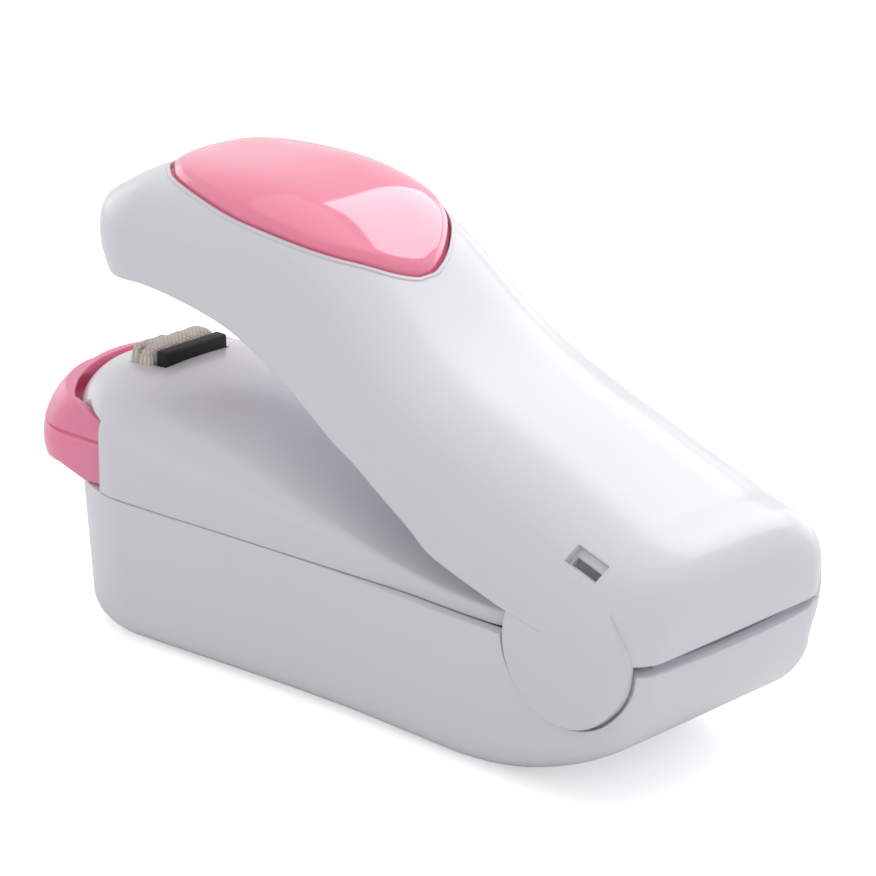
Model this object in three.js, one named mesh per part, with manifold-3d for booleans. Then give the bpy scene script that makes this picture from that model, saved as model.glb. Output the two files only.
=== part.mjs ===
// A hand-held bag sealer for two AA cells: base, hinged arm, thumb pad, lock bail and battery door.
// Millimetres. X runs from the jaw (minus) to the hinge (plus), Z is up, Y is across.
import * as THREE from 'three';
import { mergeVertices } from 'three/addons/utils/BufferGeometryUtils.js';
import Module from 'manifold-3d';

const wasm = await Module();
wasm.setup();

// Overall sizes
const halfLength = 60;
const halfWidth = 21.3;
const seamHeight = 21.6;
const domeRise = 15.9;
const armRise = 34.7;
const openAngle = THREE.MathUtils.degToRad(10.4);
const overrun = 4;

// Walls and clearances
const shellWall = 1.6;
const fitGap = 0.3;
const slideGap = 0.45;
const runningGap = 0.1;

// Hinge
const hingeSetback = 13.5;
const hingeLift = 0.1;
const lobeRadius = 10.3;
const lobeThickness = 2.5;
const lobeRecess = 0.05;
const cheekReach = 4.3;
const cheekRise = 12;
const cheekFall = 4;
const pinRadius = 2;
const pinCapWall = 1;

// Base outline
const frontOverhang = 4;
const frontInset = 0.7;
const rearInset = 1.4;
const rearBow = 0.8;
const rearCornerRadius = 5.6;
const rearEdgeDrop = 1;
const rearEdgeRun = 9;
const bottomFillet = 4.2;
const sideDraft = 1.1;
const heelLength = 34.1;
const heelRadius = 52;

// Rear of the base's upper half
const upperRearInset = 6;
const upperRearRound = 3;

// Battery bay
const cellRadius = 7.25;
const cellLength = 49.2;
const cellCapRadius = 2.7;
const cellCapHeight = 1.2;
const cellSpacing = 15.2;
const bayCentreX = -4.5;
const bayWall = 1.2;
const contactSpringLength = 4.4;
const contactSpringRadius = 3;
const contactWire = 0.7;
const contactCurls = 3;
const contactPlate = 0.5;
const contactPlateWidth = 9;
const doorThickness = 1.6;
const doorMargin = 1.4;
const doorRim = 1.5;

// Heater and rubber strip
const heaterSetback = 10.2;
const heaterWidth = 4.6;
const heaterLength = 12.6;
const heaterProud = 1.6;
const ribbonThickness = 0.3;
const ribbonWidth = 2;
const clothThickness = 0.4;
const blockDepth = 7;
const rubberWidth = 2.1;
const rubberLength = 12.2;
const rubberProud = 1.4;
const rubberDepth = 5.4;
const rubberChamfer = 0.7;

// Arm
const noseRadius = 17.4;
const noseReach = 0.1;
const noseRise = 23.1;
const noseBrow = 2.4;
const noseLean = 5.8;
const noseLeanLength = 20;
const tailInset = 1.5;
const armRearCorner = 5.8;
const plateThickness = 1.4;
const plateLift = 2.9;
const plateRise = 5;
const plateSetback = 14.9;
const jawStripThickness = 1.6;
const jawStripWidth = 7;
const slotLength = 5.4;
const slotHeight = 2.8;
const slotDepth = 0.8;
const slotHoleLength = 4.4;
const slotHoleHeight = 1.2;
const slotHoleDrop = 0.5;
const slotSetback = 0.5;
const slotInset = 3.4;
const slotRise = 12.1;
const slotTilt = THREE.MathUtils.degToRad(8);
const slotLean = THREE.MathUtils.degToRad(43);

// Thumb pad
const padSetback = 13.2;
const padLength = 44;
const padSideInset = 5.9;
const padLift = 1.1;
const padThickness = 3.4;
const padTravel = 1.2;
const padEdgeRadius = 1.8;
const padRearGap = 0.2;
const wellDepth = 5.6;
const wellFloor = 1.2;
const wellWall = 1.3;
const thumbSpringRadius = 3.2;
const thumbSpringWire = 0.45;
const thumbSpringCurls = 1.5;
const thumbStemRadius = 1.8;

// Lock bail
const bailSideInset = 2.4;
const bailCornerRadius = 9.5;
const bailLength = 18;
const bailFootRise = 2.1;
const bailCheekFootRise = 0.5;
const bailCheekStepLength = 10.5;
const bailCreaseRise = 6.9;
const bailRimRise = 11.6;
const bailTopRise = 13;
const bailCheekTopRise = 9.8;
const bailWall = 2.2;
const bailFootInset = 0.1;
const bailShoulderInset = 0.4;
const bailRimInset = 2.2;
const bailGap = 0.9;
const bailCheekThickness = 2.4;
const bailPocketRise = 5.4;
const bailPocketLength = 11.4;
const bailRearGap = 0.9;
const bailTopGap = 0.8;
const bailPinSetback = 15.1;
const bailPinRise = 5.2;
const bailPinRadius = 1.3;
const bailPinLength = 1.5;

// Switch, spring, magnets and screws
const switchX = 6;
const switchLength = 9;
const switchWidth = 6;
const switchHeight = 4.4;
const switchButtonRadius = 1.1;
const switchButtonHeight = 1.4;
const pegRadius = 1.6;
const armSpringSetback = 23.9;
const armSpringRadius = 4;
const armSpringWire = 0.9;
const armSpringCurls = 5;
const springPostRadius = 2.4;
const springPostHeight = 2;
const magnetRadius = 4;
const magnetHeight = 1.4;
const frontScrewGap = 5;
const frontScrewInset = 9.8;
const rearScrewGap = 8;
const rearScrewInset = 8.3;
const screwHeadRadius = 2.2;
const screwHeadHeight = 1.3;
const screwShankRadius = 1;
const screwLength = 12;
const screwBossRadius = 3;
const screwDriveWidth = 0.6;
const screwDriveDepth = 0.6;
const screwDriveShare = 0.6;

// Counts
const arcSteps = 10;
const midSteps = 9;
const cornerSteps = 5;
const rearSteps = 3;
const plateStations = 22;
const sectionSteps = 9;
const armStations = 38;
const upperStations = 28;
const insideShare = 0.6;
const coilSteps = 8;
const coilSides = 5;
const doorGrooves = 5;
const hubSides = 48;
const pinSides = 20;
const roundSides = 24;
const smallSides = 12;
const bossSides = 16;
const cellSides = 28;

// Shares that shape the ends
const leastShare = 0.02;
const rearPinchShare = 0.12;
const rearDropShare = 0.7;
const tailDropShare = 1.05;
const crownShares = [0.25, 0.5, 0.75];

// Shape tables, as shares of half the length, half the width and the heights named above
const baseWidthShares = [
  [-0.578, 0.96], [-0.5, 0.955], [-0.35, 0.938], [-0.18, 0.924], [-0.03, 0.918], [0.13, 0.928],
  [0.28, 0.95], [0.45, 0.975], [0.62, 0.984], [0.9, 0.982],
];
const upperWidthShares = [
  [-0.578, 0.96], [-0.5, 0.955], [-0.35, 0.938], [-0.18, 0.922], [-0.03, 0.908], [0.13, 0.896],
  [0.28, 0.884], [0.38, 0.895], [0.46, 0.903], [0.56, 0.9], [0.585, 0.88], [0.605, 0.862], [0.78, 0.85],
  [0.92, 0.8],
];
const wallTopShares = [
  [-1, 0.62], [-0.75, 0.57], [-0.55, 0.43], [-0.4, 0.33], [-0.2, 0.3], [0, 0.29], [0.12, 0.26],
  [0.25, 0.18], [0.4, 0.13], [0.92, 0.12],
];
const domeShares = [
  [-1, 0.98], [-0.8, 0.985], [-0.6, 0.98], [-0.42, 0.945], [-0.25, 0.84], [-0.08, 0.66], [0.08, 0.5],
  [0.25, 0.34], [0.42, 0.26], [0.7, 0.24], [0.92, 0.22],
];
const armWidthShares = [
  [-1, 0.8], [-0.7, 0.818], [-0.5, 0.832], [-0.3, 0.856], [-0.15, 0.88], [0, 0.915], [0.15, 0.95],
  [0.3, 0.978], [0.45, 0.994], [0.6, 1], [0.74, 1], [0.84, 0.975], [0.92, 0.955], [1, 0.95],
];
const crestShares = [
  [-1.02, 0.59], [-0.9, 0.72], [-0.8, 0.838], [-0.62, 0.935], [-0.42, 1], [-0.25, 0.989], [-0.12, 0.907],
  [0.02, 0.767], [0.1, 0.694], [0.2, 0.633], [0.3, 0.595], [0.45, 0.549], [0.62, 0.493], [0.78, 0.445],
  [0.84, 0.438], [0.9, 0.43], [1, 0.409],
];
const skirtShares = [
  [-1.02, 0.409], [-0.8, 0.43], [-0.62, 0.478], [-0.45, 0.494], [-0.34, 0.482], [-0.19, 0.421],
  [-0.11, 0.375], [-0.04, 0.336], [0.013, 0.304], [0.11, 0.265], [0.21, 0.208], [0.3, 0.151],
  [0.36, 0.104], [0.43, 0.083], [0.52, 0.066], [0.6, 0.052], [0.79, 0.047], [0.9, 0.057], [1, 0.083],
];
const plateRiseShares = [[-0.2, 0], [0.05, 0.5], [0.3, 1]];
const padWidthShares = [
  [0, 0.25], [0.012, 0.42], [0.045, 0.5], [0.093, 0.575], [0.18, 0.75], [0.257, 0.855],
  [0.336, 0.935], [0.439, 0.98], [0.534, 0.997], [0.632, 1], [0.705, 0.96], [0.78, 0.875],
  [0.836, 0.775], [0.893, 0.64], [0.93, 0.52], [0.97, 0.33], [0.99, 0.2], [1, 0.12],
];
const armRound = 3.5;
const tailRound = 2.2;
const domeRound = 2.3;
const skirtTuckShare = 0.955;
const tuckRiseShare = 0.25;
const tuckEndShare = 0.17;

// Places and levels that follow from the sizes above
const domeHeight = seamHeight + domeRise;
const pivotX = halfLength - hingeSetback;
const pivotHeight = seamHeight + hingeLift;
const armTop = pivotHeight + armRise;
const lobeInner = halfWidth - lobeThickness;
const baseFrontX = frontOverhang - halfLength;
const frontRadius = halfWidth - frontInset;
const frontCentreX = baseFrontX + frontRadius;
const rearX = halfLength - rearInset;
const upperRearX = halfLength - upperRearInset;
const cellHeight = doorThickness + fitGap + cellRadius;
const bayRoof = cellHeight + cellRadius + fitGap;
const bayLength = cellLength + cellCapHeight + contactSpringLength + 2 * contactPlate + 4 * fitGap;
const bayHalfWidth = cellSpacing / 2 + cellRadius + fitGap;
const bayFrontX = bayCentreX - bayLength / 2;
const bayRearX = bayCentreX + bayLength / 2;
const doorHalfWidth = bayHalfWidth + doorMargin;
const doorFrontX = bayFrontX - doorMargin;
const doorRearX = bayRearX + doorMargin;
const magnetX = (baseFrontX + bayFrontX - bayWall) / 2;
const screwPlaces = [-1, 1].flatMap((side) => [
  [bayFrontX - bayWall - frontScrewGap, side * (halfWidth - frontScrewInset)],
  [bayRearX + bayWall + rearScrewGap, side * (halfWidth - rearScrewInset)],
]);
const heaterX = baseFrontX + heaterSetback;
const heaterTop = domeHeight + heaterProud;
const rubberX = heaterX + heaterWidth / 2 + rubberWidth / 2 + fitGap;
const rubberTop = domeHeight + rubberProud;
const jawBottom = heaterTop + fitGap;
const noseTipX = -halfLength - noseReach;
const noseHeight = pivotHeight + noseRise;
const armRearX = halfLength - tailInset;
const plateEndX = pivotX - plateSetback;
const armSpringX = pivotX - armSpringSetback;
const slotX = pivotX - slotSetback;
const padFrontX = padSetback - halfLength;
const padRearX = padFrontX + padLength;
const padMiddleX = (padFrontX + padRearX) / 2;
const padHalfWidth = halfWidth - padSideInset;
const bailFrontX = -halfLength;
const bailHalfWidth = halfWidth - bailSideInset;
const bailInner = bailHalfWidth - bailCheekThickness;
const bailEndX = bailFrontX + bailLength;
const bailPocketEndX = bailFrontX + bailPocketLength;
const bailPinX = bailFrontX + bailPinSetback;
const bailPinHeight = seamHeight + bailPinRise;
const bailHigh = seamHeight + bailTopRise;
const bailRimLow = seamHeight + bailRimRise;
const bailCheekHigh = seamHeight + bailCheekTopRise;

// Smooth reading of a table: cubic through its points with slopes from the neighbours
function readTable(table, at) {
  const last = table.length - 1;
  if (at <= table[0][0]) return table[0][1];
  if (at >= table[last][0]) return table[last][1];
  let i = 0;
  while (table[i + 1][0] < at) i += 1;
  const slope = (k) => {
    const a = table[Math.max(k - 1, 0)];
    const b = table[Math.min(k + 1, last)];
    return (b[1] - a[1]) / (b[0] - a[0]);
  };
  const span = table[i + 1][0] - table[i][0];
  const t = (at - table[i][0]) / span;
  const h00 = (1 + 2 * t) * (1 - t) * (1 - t);
  const h10 = t * (1 - t) * (1 - t);
  const h01 = t * t * (3 - 2 * t);
  const h11 = t * t * (t - 1);
  return h00 * table[i][1] + h10 * span * slope(i) + h01 * table[i + 1][1] + h11 * span * slope(i + 1);
}

// Solids
function solid(geometry) {
  const bare = geometry.clone();
  bare.deleteAttribute('normal');
  bare.deleteAttribute('uv');
  const merged = mergeVertices(bare, 1e-5);
  return new wasm.Manifold(new wasm.Mesh({
    numProp: 3,
    vertProperties: new Float32Array(merged.attributes.position.array),
    triVerts: new Uint32Array(merged.index.array),
  }));
}

function geometryOf(body) {
  const data = body.getMesh();
  const geometry = new THREE.BufferGeometry();
  geometry.setAttribute('position', new THREE.BufferAttribute(Float32Array.from(data.vertProperties), 3));
  geometry.setIndex(new THREE.BufferAttribute(Uint32Array.from(data.triVerts), 1));
  return geometry;
}

function piece(name, body, colour, roughness, metalness) {
  const material = new THREE.MeshStandardMaterial({ color: colour, roughness, metalness });
  const mesh = new THREE.Mesh(body.isBufferGeometry ? body : geometryOf(body), material);
  mesh.name = name;
  return mesh;
}

// A closed skin over rings of equal count; each end is closed by the function given
function loft(rings, close = fan) {
  const count = rings[0].length;
  const points = rings.flat();
  const faces = [];
  for (let r = 0; r + 1 < rings.length; r += 1) {
    for (let i = 0; i < count; i += 1) {
      const a = r * count + i;
      const b = r * count + (i + 1) % count;
      faces.push(a, b, b + count, a, b + count, a + count);
    }
  }
  faces.push(...close(points, count, 0, true));
  faces.push(...close(points, count, (rings.length - 1) * count, false));
  return meshFrom(points, faces);
}

// End closed from its middle
function fan(points, count, offset, flip) {
  const middle = new THREE.Vector3();
  for (let i = 0; i < count; i += 1) middle.add(points[offset + i]);
  const hub = points.push(middle.divideScalar(count)) - 1;
  const faces = [];
  for (let i = 0; i < count; i += 1) {
    const a = offset + i;
    const b = offset + (i + 1) % count;
    faces.push(...(flip ? [hub, b, a] : [hub, a, b]));
  }
  return faces;
}

// End closed by strips across Y, for a ring with one point on the middle at the front and rear
function mirrored(points, count, offset, flip) {
  const faces = [];
  const add = (p, q, s) => faces.push(...(flip ? [p, s, q] : [p, q, s]));
  for (let i = 0; i + 1 < count / 2; i += 1) {
    const a = offset + i;
    const d = offset + count - i - 1;
    add(a, a + 1, d);
    if (i > 0) add(a, d, d + 1);
  }
  const a = offset + count / 2 - 1;
  add(a, a + 1, a + 2);
  return faces;
}

// End closed by strips across Y, for a ring listed as one half and then the other half in reverse
function paired(points, count, offset, flip) {
  const faces = [];
  const add = (p, q, s) => faces.push(...(flip ? [p, s, q] : [p, q, s]));
  for (let i = 0; i + 1 < count / 2; i += 1) {
    const a = offset + i;
    const d = offset + count - 2 - i;
    add(a, a + 1, d);
    add(a, d, d + 1);
  }
  return faces;
}

function meshFrom(points, faces) {
  const geometry = new THREE.BufferGeometry();
  geometry.setFromPoints(points);
  geometry.setIndex(faces);
  if (signedVolume(points, faces) < 0) geometry.setIndex([...faces].reverse());
  return geometry;
}

function signedVolume(points, faces) {
  let sum = 0;
  const cross = new THREE.Vector3();
  for (let i = 0; i < faces.length; i += 3) {
    cross.crossVectors(points[faces[i + 1]], points[faces[i + 2]]);
    sum += points[faces[i]].dot(cross);
  }
  return sum / 6;
}

function block(xLow, xHigh, yLow, yHigh, zLow, zHigh) {
  const geometry = new THREE.BoxGeometry(xHigh - xLow, yHigh - yLow, zHigh - zLow);
  geometry.translate((xLow + xHigh) / 2, (yLow + yHigh) / 2, (zLow + zHigh) / 2);
  return solid(geometry);
}

// A round bar between two places on a line along X, Y or Z
function bar(axis, radius, low, high, centre, sides) {
  const geometry = new THREE.CylinderGeometry(radius, radius, high - low, sides);
  const middle = (low + high) / 2;
  if (axis === 'y') geometry.translate(0, middle, 0);
  if (axis === 'x') geometry.rotateZ(-Math.PI / 2).translate(middle, 0, 0);
  if (axis === 'z') geometry.rotateX(Math.PI / 2).translate(0, 0, middle);
  geometry.translate(centre[0], centre[1], centre[2]);
  return solid(geometry);
}

// One unbroken coil, round a line along X or Z, with its least gap to itself printed
function coil(name, axis, radius, wire, curls, length, centre) {
  const steps = coilSteps * curls;
  const run = length - wire;
  const path = (t) => {
    const turn = 2 * Math.PI * curls * t;
    return new THREE.Vector3(radius * Math.cos(turn), radius * Math.sin(turn), run * (t - 0.5));
  };
  const rings = [];
  for (let i = 0; i <= steps; i += 1) {
    const turn = 2 * Math.PI * curls * i / steps;
    const out = new THREE.Vector3(Math.cos(turn), Math.sin(turn), 0);
    const up = new THREE.Vector3(0, 0, 1);
    const ring = [];
    for (let k = 0; k < coilSides; k += 1) {
      const a = 2 * Math.PI * k / coilSides;
      const point = path(i / steps);
      point.addScaledVector(out, wire / 2 * Math.cos(a)).addScaledVector(up, wire / 2 * Math.sin(a));
      ring.push(point);
    }
    rings.push(ring);
  }
  let least = Infinity;
  for (let i = 0; i < rings.length; i += 1) {
    for (let j = i + coilSides; j < rings.length; j += 1) {
      rings[i].forEach((p) => rings[j].forEach((q) => { least = Math.min(least, p.distanceTo(q)); }));
    }
  }
  console.log(`${name}: least gap to itself ${least.toFixed(2)} mm`);
  const geometry = loft(rings);
  if (axis === 'x') geometry.rotateY(Math.PI / 2);
  geometry.translate(centre[0], centre[1], centre[2]);
  return geometry;
}

function mirrorY(body) {
  return body.mirror([0, 1, 0]);
}

function bothSides(body) {
  return body.add(mirrorY(body));
}

// Base plan: one half from the front tip to the middle of the rear, at an inset from the outside
function planHalf(inset) {
  const points = [];
  const radius = frontRadius - inset;
  for (let i = 0; i < arcSteps; i += 1) {
    const angle = Math.PI / 2 * i / arcSteps;
    points.push([frontCentreX - radius * Math.cos(angle), radius * Math.sin(angle)]);
  }
  const corner = Math.max(rearCornerRadius - inset, fitGap);
  const cornerX = rearX - inset - corner;
  for (let i = 0; i <= midSteps; i += 1) {
    const x = frontCentreX + (cornerX - frontCentreX) * i / midSteps;
    points.push([x, readTable(baseWidthShares, x / halfLength) * halfWidth - inset]);
  }
  const edge = points[points.length - 1][1];
  for (let i = 1; i <= cornerSteps; i += 1) {
    const angle = Math.PI / 2 * i / cornerSteps;
    points.push([cornerX + corner * Math.sin(angle), edge - corner + corner * Math.cos(angle)]);
  }
  const flat = edge - corner;
  for (let i = 1; i <= rearSteps; i += 1) {
    const y = flat * (1 - i / rearSteps);
    points.push([rearX - inset + rearBow * (1 - (y / flat) ** 2), y]);
  }
  return points;
}

function planRing(half, height) {
  const ring = half.map(([x, y]) => new THREE.Vector3(x, y, height(x)));
  for (let i = half.length - 2; i > 0; i -= 1) {
    ring.push(new THREE.Vector3(half[i][0], -half[i][1], height(half[i][0])));
  }
  return ring;
}

// Underside of the base: flat, then curving up behind the heel line
function heelHeight(x) {
  const past = Math.max(x - rearX + heelLength, 0);
  return heelRadius - Math.sqrt(heelRadius ** 2 - past ** 2);
}

function lowerBody(inset, top) {
  const rings = [];
  const steps = 4;
  const fillet = Math.max(bottomFillet - inset, fitGap);
  for (let i = 0; i <= steps; i += 1) {
    const angle = Math.PI / 2 * i / steps;
    const pull = inset + sideDraft + fillet * (1 - Math.sin(angle));
    const rise = inset + fillet * (1 - Math.cos(angle));
    rings.push(planRing(planHalf(pull), (x) => heelHeight(x) + rise));
  }
  rings.push(planRing(planHalf(inset), (x) => top - rearDip(x)));
  return solid(loft(rings, mirrored));
}

// The top edge of the lower half falls away below the arm's tail
function rearDip(x) {
  const near = Math.max(x - rearX + rearEdgeRun, 0) / rearEdgeRun;
  return rearEdgeDrop * Math.min(near, 1) ** 2;
}

// Stations along X between two ends, close together at both ends
function stations(front, rear, steps) {
  const list = [];
  for (let i = 0; i <= steps; i += 1) {
    const share = (1 - Math.cos(Math.PI * i / steps)) / 2;
    list.push(front + (rear - front) * share);
  }
  return list;
}

function stationCount(count, inset) {
  return inset > 0 ? Math.round(count * insideShare) : count;
}

// An arch across Y: straight sides up from a floor, then a soft rounded top
function archRing(x, half, floor, low, high, round) {
  const ring = [new THREE.Vector3(x, half, floor)];
  for (let i = 0; i <= 2 * sectionSteps; i += 1) {
    const angle = Math.PI * i / (2 * sectionSteps);
    const across = Math.sign(Math.cos(angle)) * Math.abs(Math.cos(angle)) ** (2 / round);
    const up = Math.sin(angle) ** (2 / round);
    ring.push(new THREE.Vector3(x, half * across, low + (high - low) * up));
  }
  ring.push(new THREE.Vector3(x, -half, floor));
  return ring;
}

// How far an end rounds in: one away from the end, nothing at the end itself
function roundIn(distance, radius, power) {
  const t = Math.min(Math.max(1 - distance / radius, 0), 1);
  return Math.max((1 - t ** power) ** (1 / power), leastShare);
}

// Upper half of the base, with its soft shoulder and dome
function upperShape(x, inset) {
  const width = readTable(upperWidthShares, x / halfLength) * halfWidth - inset;
  const inFront = x - (frontCentreX - frontRadius + inset);
  const arc = x < frontCentreX ? roundIn(inFront, frontRadius - inset, 2) : 1;
  const rear = roundIn(upperRearX - inset - x, upperRearRound, 2);
  const wall = seamHeight + readTable(wallTopShares, x / halfLength) * domeRise - inset;
  const crest = seamHeight + readTable(domeShares, x / halfLength) * domeRise - inset;
  const frontWall = x < frontCentreX ? (frontRadius - inset) * arc : width;
  return {
    half: Math.min(frontWall, width) * (1 - rearPinchShare * (1 - rear)),
    wall,
    crest: wall + (crest - wall) * Math.sqrt(arc) * (1 - rearDropShare * (1 - rear)),
  };
}

function upperBody(inset, floor) {
  const front = frontCentreX - frontRadius + inset;
  const xs = stations(front, upperRearX - inset, stationCount(upperStations, inset));
  return solid(loft(xs.map((x) => {
    const s = upperShape(x, inset);
    return archRing(x, s.half, floor, s.wall, s.crest, domeRound);
  })));
}

// Arm, drawn closed; the group turns it open
function armShape(x, inset) {
  const noseEnd = noseTipX + inset;
  const nose = x < noseTipX + noseRadius ? roundIn(x - noseEnd, noseRadius - inset, 2) : 1;
  const brow = noseHeight - noseBrow - inset;
  const tail = roundIn(armRearX - inset - x, armRearCorner, tailRound);
  const width = readTable(armWidthShares, x / halfLength) * halfWidth - inset;
  const crest = pivotHeight + readTable(crestShares, x / halfLength) * armRise - inset;
  const skirt = pivotHeight + readTable(skirtShares, x / halfLength) * armRise;
  const cornerLoss = (1 - tail) * armRearCorner;
  return {
    half: width * nose - cornerLoss,
    crest: brow + (crest - brow) * nose - cornerLoss * tailDropShare,
    skirt,
  };
}

function armHeightAt(x, y) {
  const s = armShape(x, 0);
  const across = Math.min(Math.abs(y) / s.half, 1);
  return s.skirt + (s.crest - s.skirt) * (1 - across ** armRound) ** (1 / armRound);
}

// The nose slants back below its brow, most at the tip
function leanAt(x, z) {
  const foot = pivotHeight + skirtShares[0][1] * armRise;
  const fall = Math.min(Math.max((noseHeight - z) / (noseHeight - foot), 0), 1);
  const near = Math.min(Math.max((noseTipX + noseLeanLength - x) / noseLeanLength, 0), 1);
  return noseLean * fall * near;
}

// The lower edge tucks in toward the jaw
function tuckAt(x, up) {
  const tuck = skirtTuckShare + (1 - skirtTuckShare) * Math.min(up / tuckRiseShare, 1);
  const back = Math.min(Math.max((x / halfLength / tuckEndShare + 1) / 2, 0), 1);
  return tuck + (1 - tuck) * back;
}

function armBody(inset, drop) {
  const rings = stations(noseTipX + inset, armRearX - inset, stationCount(armStations, inset)).map((x) => {
    const s = armShape(x, inset);
    const ring = [];
    for (let i = 0; i <= 2 * sectionSteps; i += 1) {
      const angle = Math.PI * i / (2 * sectionSteps);
      const up = Math.sin(angle) ** (2 / armRound);
      const across = Math.sign(Math.cos(angle)) * Math.abs(Math.cos(angle)) ** (2 / armRound);
      const z = s.skirt - drop + (s.crest - s.skirt + drop) * up;
      ring.push(new THREE.Vector3(x + leanAt(x, z), s.half * across * tuckAt(x, up), z));
    }
    return ring;
  });
  return solid(loft(rings));
}

// Outline of the thumb pad, grown or shrunk by an offset
function padHalf(grow) {
  const steps = 16;
  const rearGap = grow > 0 ? padRearGap : 0;
  const half = [];
  for (let i = 0; i <= steps; i += 1) {
    const share = (1 - Math.cos(Math.PI * i / steps)) / 2;
    const x = padFrontX - grow + (padLength + 2 * grow + rearGap) * share;
    half.push([x, readTable(padWidthShares, share) * padHalfWidth + grow]);
  }
  return half;
}

function padPrism(grow, low, high) {
  const half = padHalf(grow);
  const shape = new THREE.Shape();
  half.forEach(([x, y], i) => (i ? shape.lineTo(x, y) : shape.moveTo(x, y)));
  [...half].reverse().forEach(([x, y]) => shape.lineTo(x, -y));
  const geometry = new THREE.ExtrudeGeometry(shape, { depth: high - low, bevelEnabled: false });
  geometry.translate(0, 0, low);
  return solid(geometry);
}

function padRing(shrink, lift) {
  const half = padHalf(-shrink);
  const ring = half.map(([x, y]) => new THREE.Vector3(x, y, armHeightAt(x, y) + lift));
  [...half].reverse().forEach(([x, y]) => ring.push(new THREE.Vector3(x, -y, armHeightAt(x, y) + lift)));
  return ring;
}

function crownRing(shrink, lift, share) {
  return padRing(shrink, lift).map((p) => {
    const y = p.y * share;
    return new THREE.Vector3(p.x, y, armHeightAt(p.x, y) + lift);
  });
}

function thumbPad() {
  const rings = [];
  const steps = 3;
  crownShares.forEach((share) => rings.push(crownRing(0, padLift - padThickness, share)));
  rings.push(padRing(0, padLift - padThickness));
  for (let i = 0; i <= steps; i += 1) {
    const angle = Math.PI / 2 * i / steps;
    const shrink = padEdgeRadius * (1 - Math.cos(angle));
    rings.push(padRing(shrink, padLift - padEdgeRadius * (1 - Math.sin(angle))));
  }
  [...crownShares].reverse().forEach((share) => rings.push(crownRing(padEdgeRadius, padLift, share)));
  const floor = armHeightAt(padMiddleX, 0) - wellDepth;
  const stem = bar('z', thumbStemRadius, floor + padTravel + fitGap, floor + wellDepth, [padMiddleX, 0,
      0], smallSides);
  return solid(loft(rings, paired)).add(stem);
}

// The coil under the pad stands square to the slope of the well's floor
function thumbSpring() {
  const fore = armHeightAt(padMiddleX - thumbSpringRadius, 0);
  const aft = armHeightAt(padMiddleX + thumbSpringRadius, 0);
  const slope = Math.atan2(aft - fore, 2 * thumbSpringRadius);
  const sag = armHeightAt(padMiddleX, 0) - armHeightAt(padMiddleX, thumbSpringRadius);
  const room = wellDepth - padThickness + padLift - sag - 2 * fitGap;
  const geometry = coil('thumb spring', 'z', thumbSpringRadius, thumbSpringWire, thumbSpringCurls,
      room, [0, 0, 0]);
  const middle = armHeightAt(padMiddleX, 0) - wellDepth + fitGap + room / 2;
  geometry.rotateY(-slope).translate(padMiddleX, 0, middle);
  return geometry;
}

function armSpring() {
  const low = upperCrest(armSpringX) + fitGap;
  const closed = plateLow(armSpringX) - pivotHeight;
  const reach = pivotX - armSpringX;
  const open = closed * Math.cos(openAngle) + (reach - armSpringRadius) * Math.sin(openAngle);
  const high = pivotHeight + open - fitGap;
  return coil('arm spring', 'z', armSpringRadius, armSpringWire, armSpringCurls, high - low,
    [armSpringX, 0, (low + high) / 2]);
}

function upperCrest(x) {
  return upperShape(x, 0).crest;
}

function lowerShell() {
  const outside = lowerBody(0, seamHeight);
  let body = outside.subtract(lowerBody(shellWall, seamHeight + overrun));
  const bay = block(bayFrontX - bayWall, bayRearX + bayWall, -bayHalfWidth - bayWall,
      bayHalfWidth + bayWall,
    0, bayRoof + bayWall);
  body = body.add(bay);
  const hub = bar('y', lobeRadius + shellWall, lobeInner - 2 * shellWall, halfWidth, [pivotX, 0,
      pivotHeight], hubSides);
  body = body.add(bothSides(hub).intersect(outside));
  for (const [x, y] of screwPlaces) {
    body = body.add(bar('z', screwBossRadius, 0, seamHeight - fitGap, [x, y, 0],
        bossSides).intersect(outside));
  }
  const socketRadius = magnetRadius + fitGap + bayWall;
  const socket = bar('z', socketRadius, 0, magnetHeight + fitGap + bayWall, [magnetX, 0, 0], roundSides);
  body = body.add(socket.intersect(outside));
  body = body.subtract(block(bayFrontX, bayRearX, -bayHalfWidth, bayHalfWidth, -overrun, bayRoof));
  body = body.subtract(block(doorFrontX - fitGap, doorRearX + fitGap, -doorHalfWidth - fitGap,
      doorHalfWidth + fitGap,
    -overrun, doorThickness + fitGap));
  body = body.subtract(bothSides(bar('y', lobeRadius + slideGap, lobeInner - fitGap, halfWidth + overrun,
    [pivotX, 0, pivotHeight], hubSides)));
  body = body.subtract(bar('y', pinRadius + runningGap, -halfWidth, halfWidth, [pivotX, 0,
      pivotHeight], pinSides));
  for (const [x, y] of screwPlaces) {
    const floor = heelHeight(x);
    body = body.subtract(bar('z', screwHeadRadius + fitGap, -overrun, floor + 2 * screwHeadHeight, [x,
        y, 0], bossSides));
    body = body.subtract(bar('z', screwShankRadius + fitGap, 0, seamHeight + overrun, [x, y, 0],
        smallSides));
  }
  return body.subtract(bar('z', magnetRadius + fitGap, -overrun, magnetHeight + fitGap, [magnetX, 0,
      0], roundSides));
}

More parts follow.
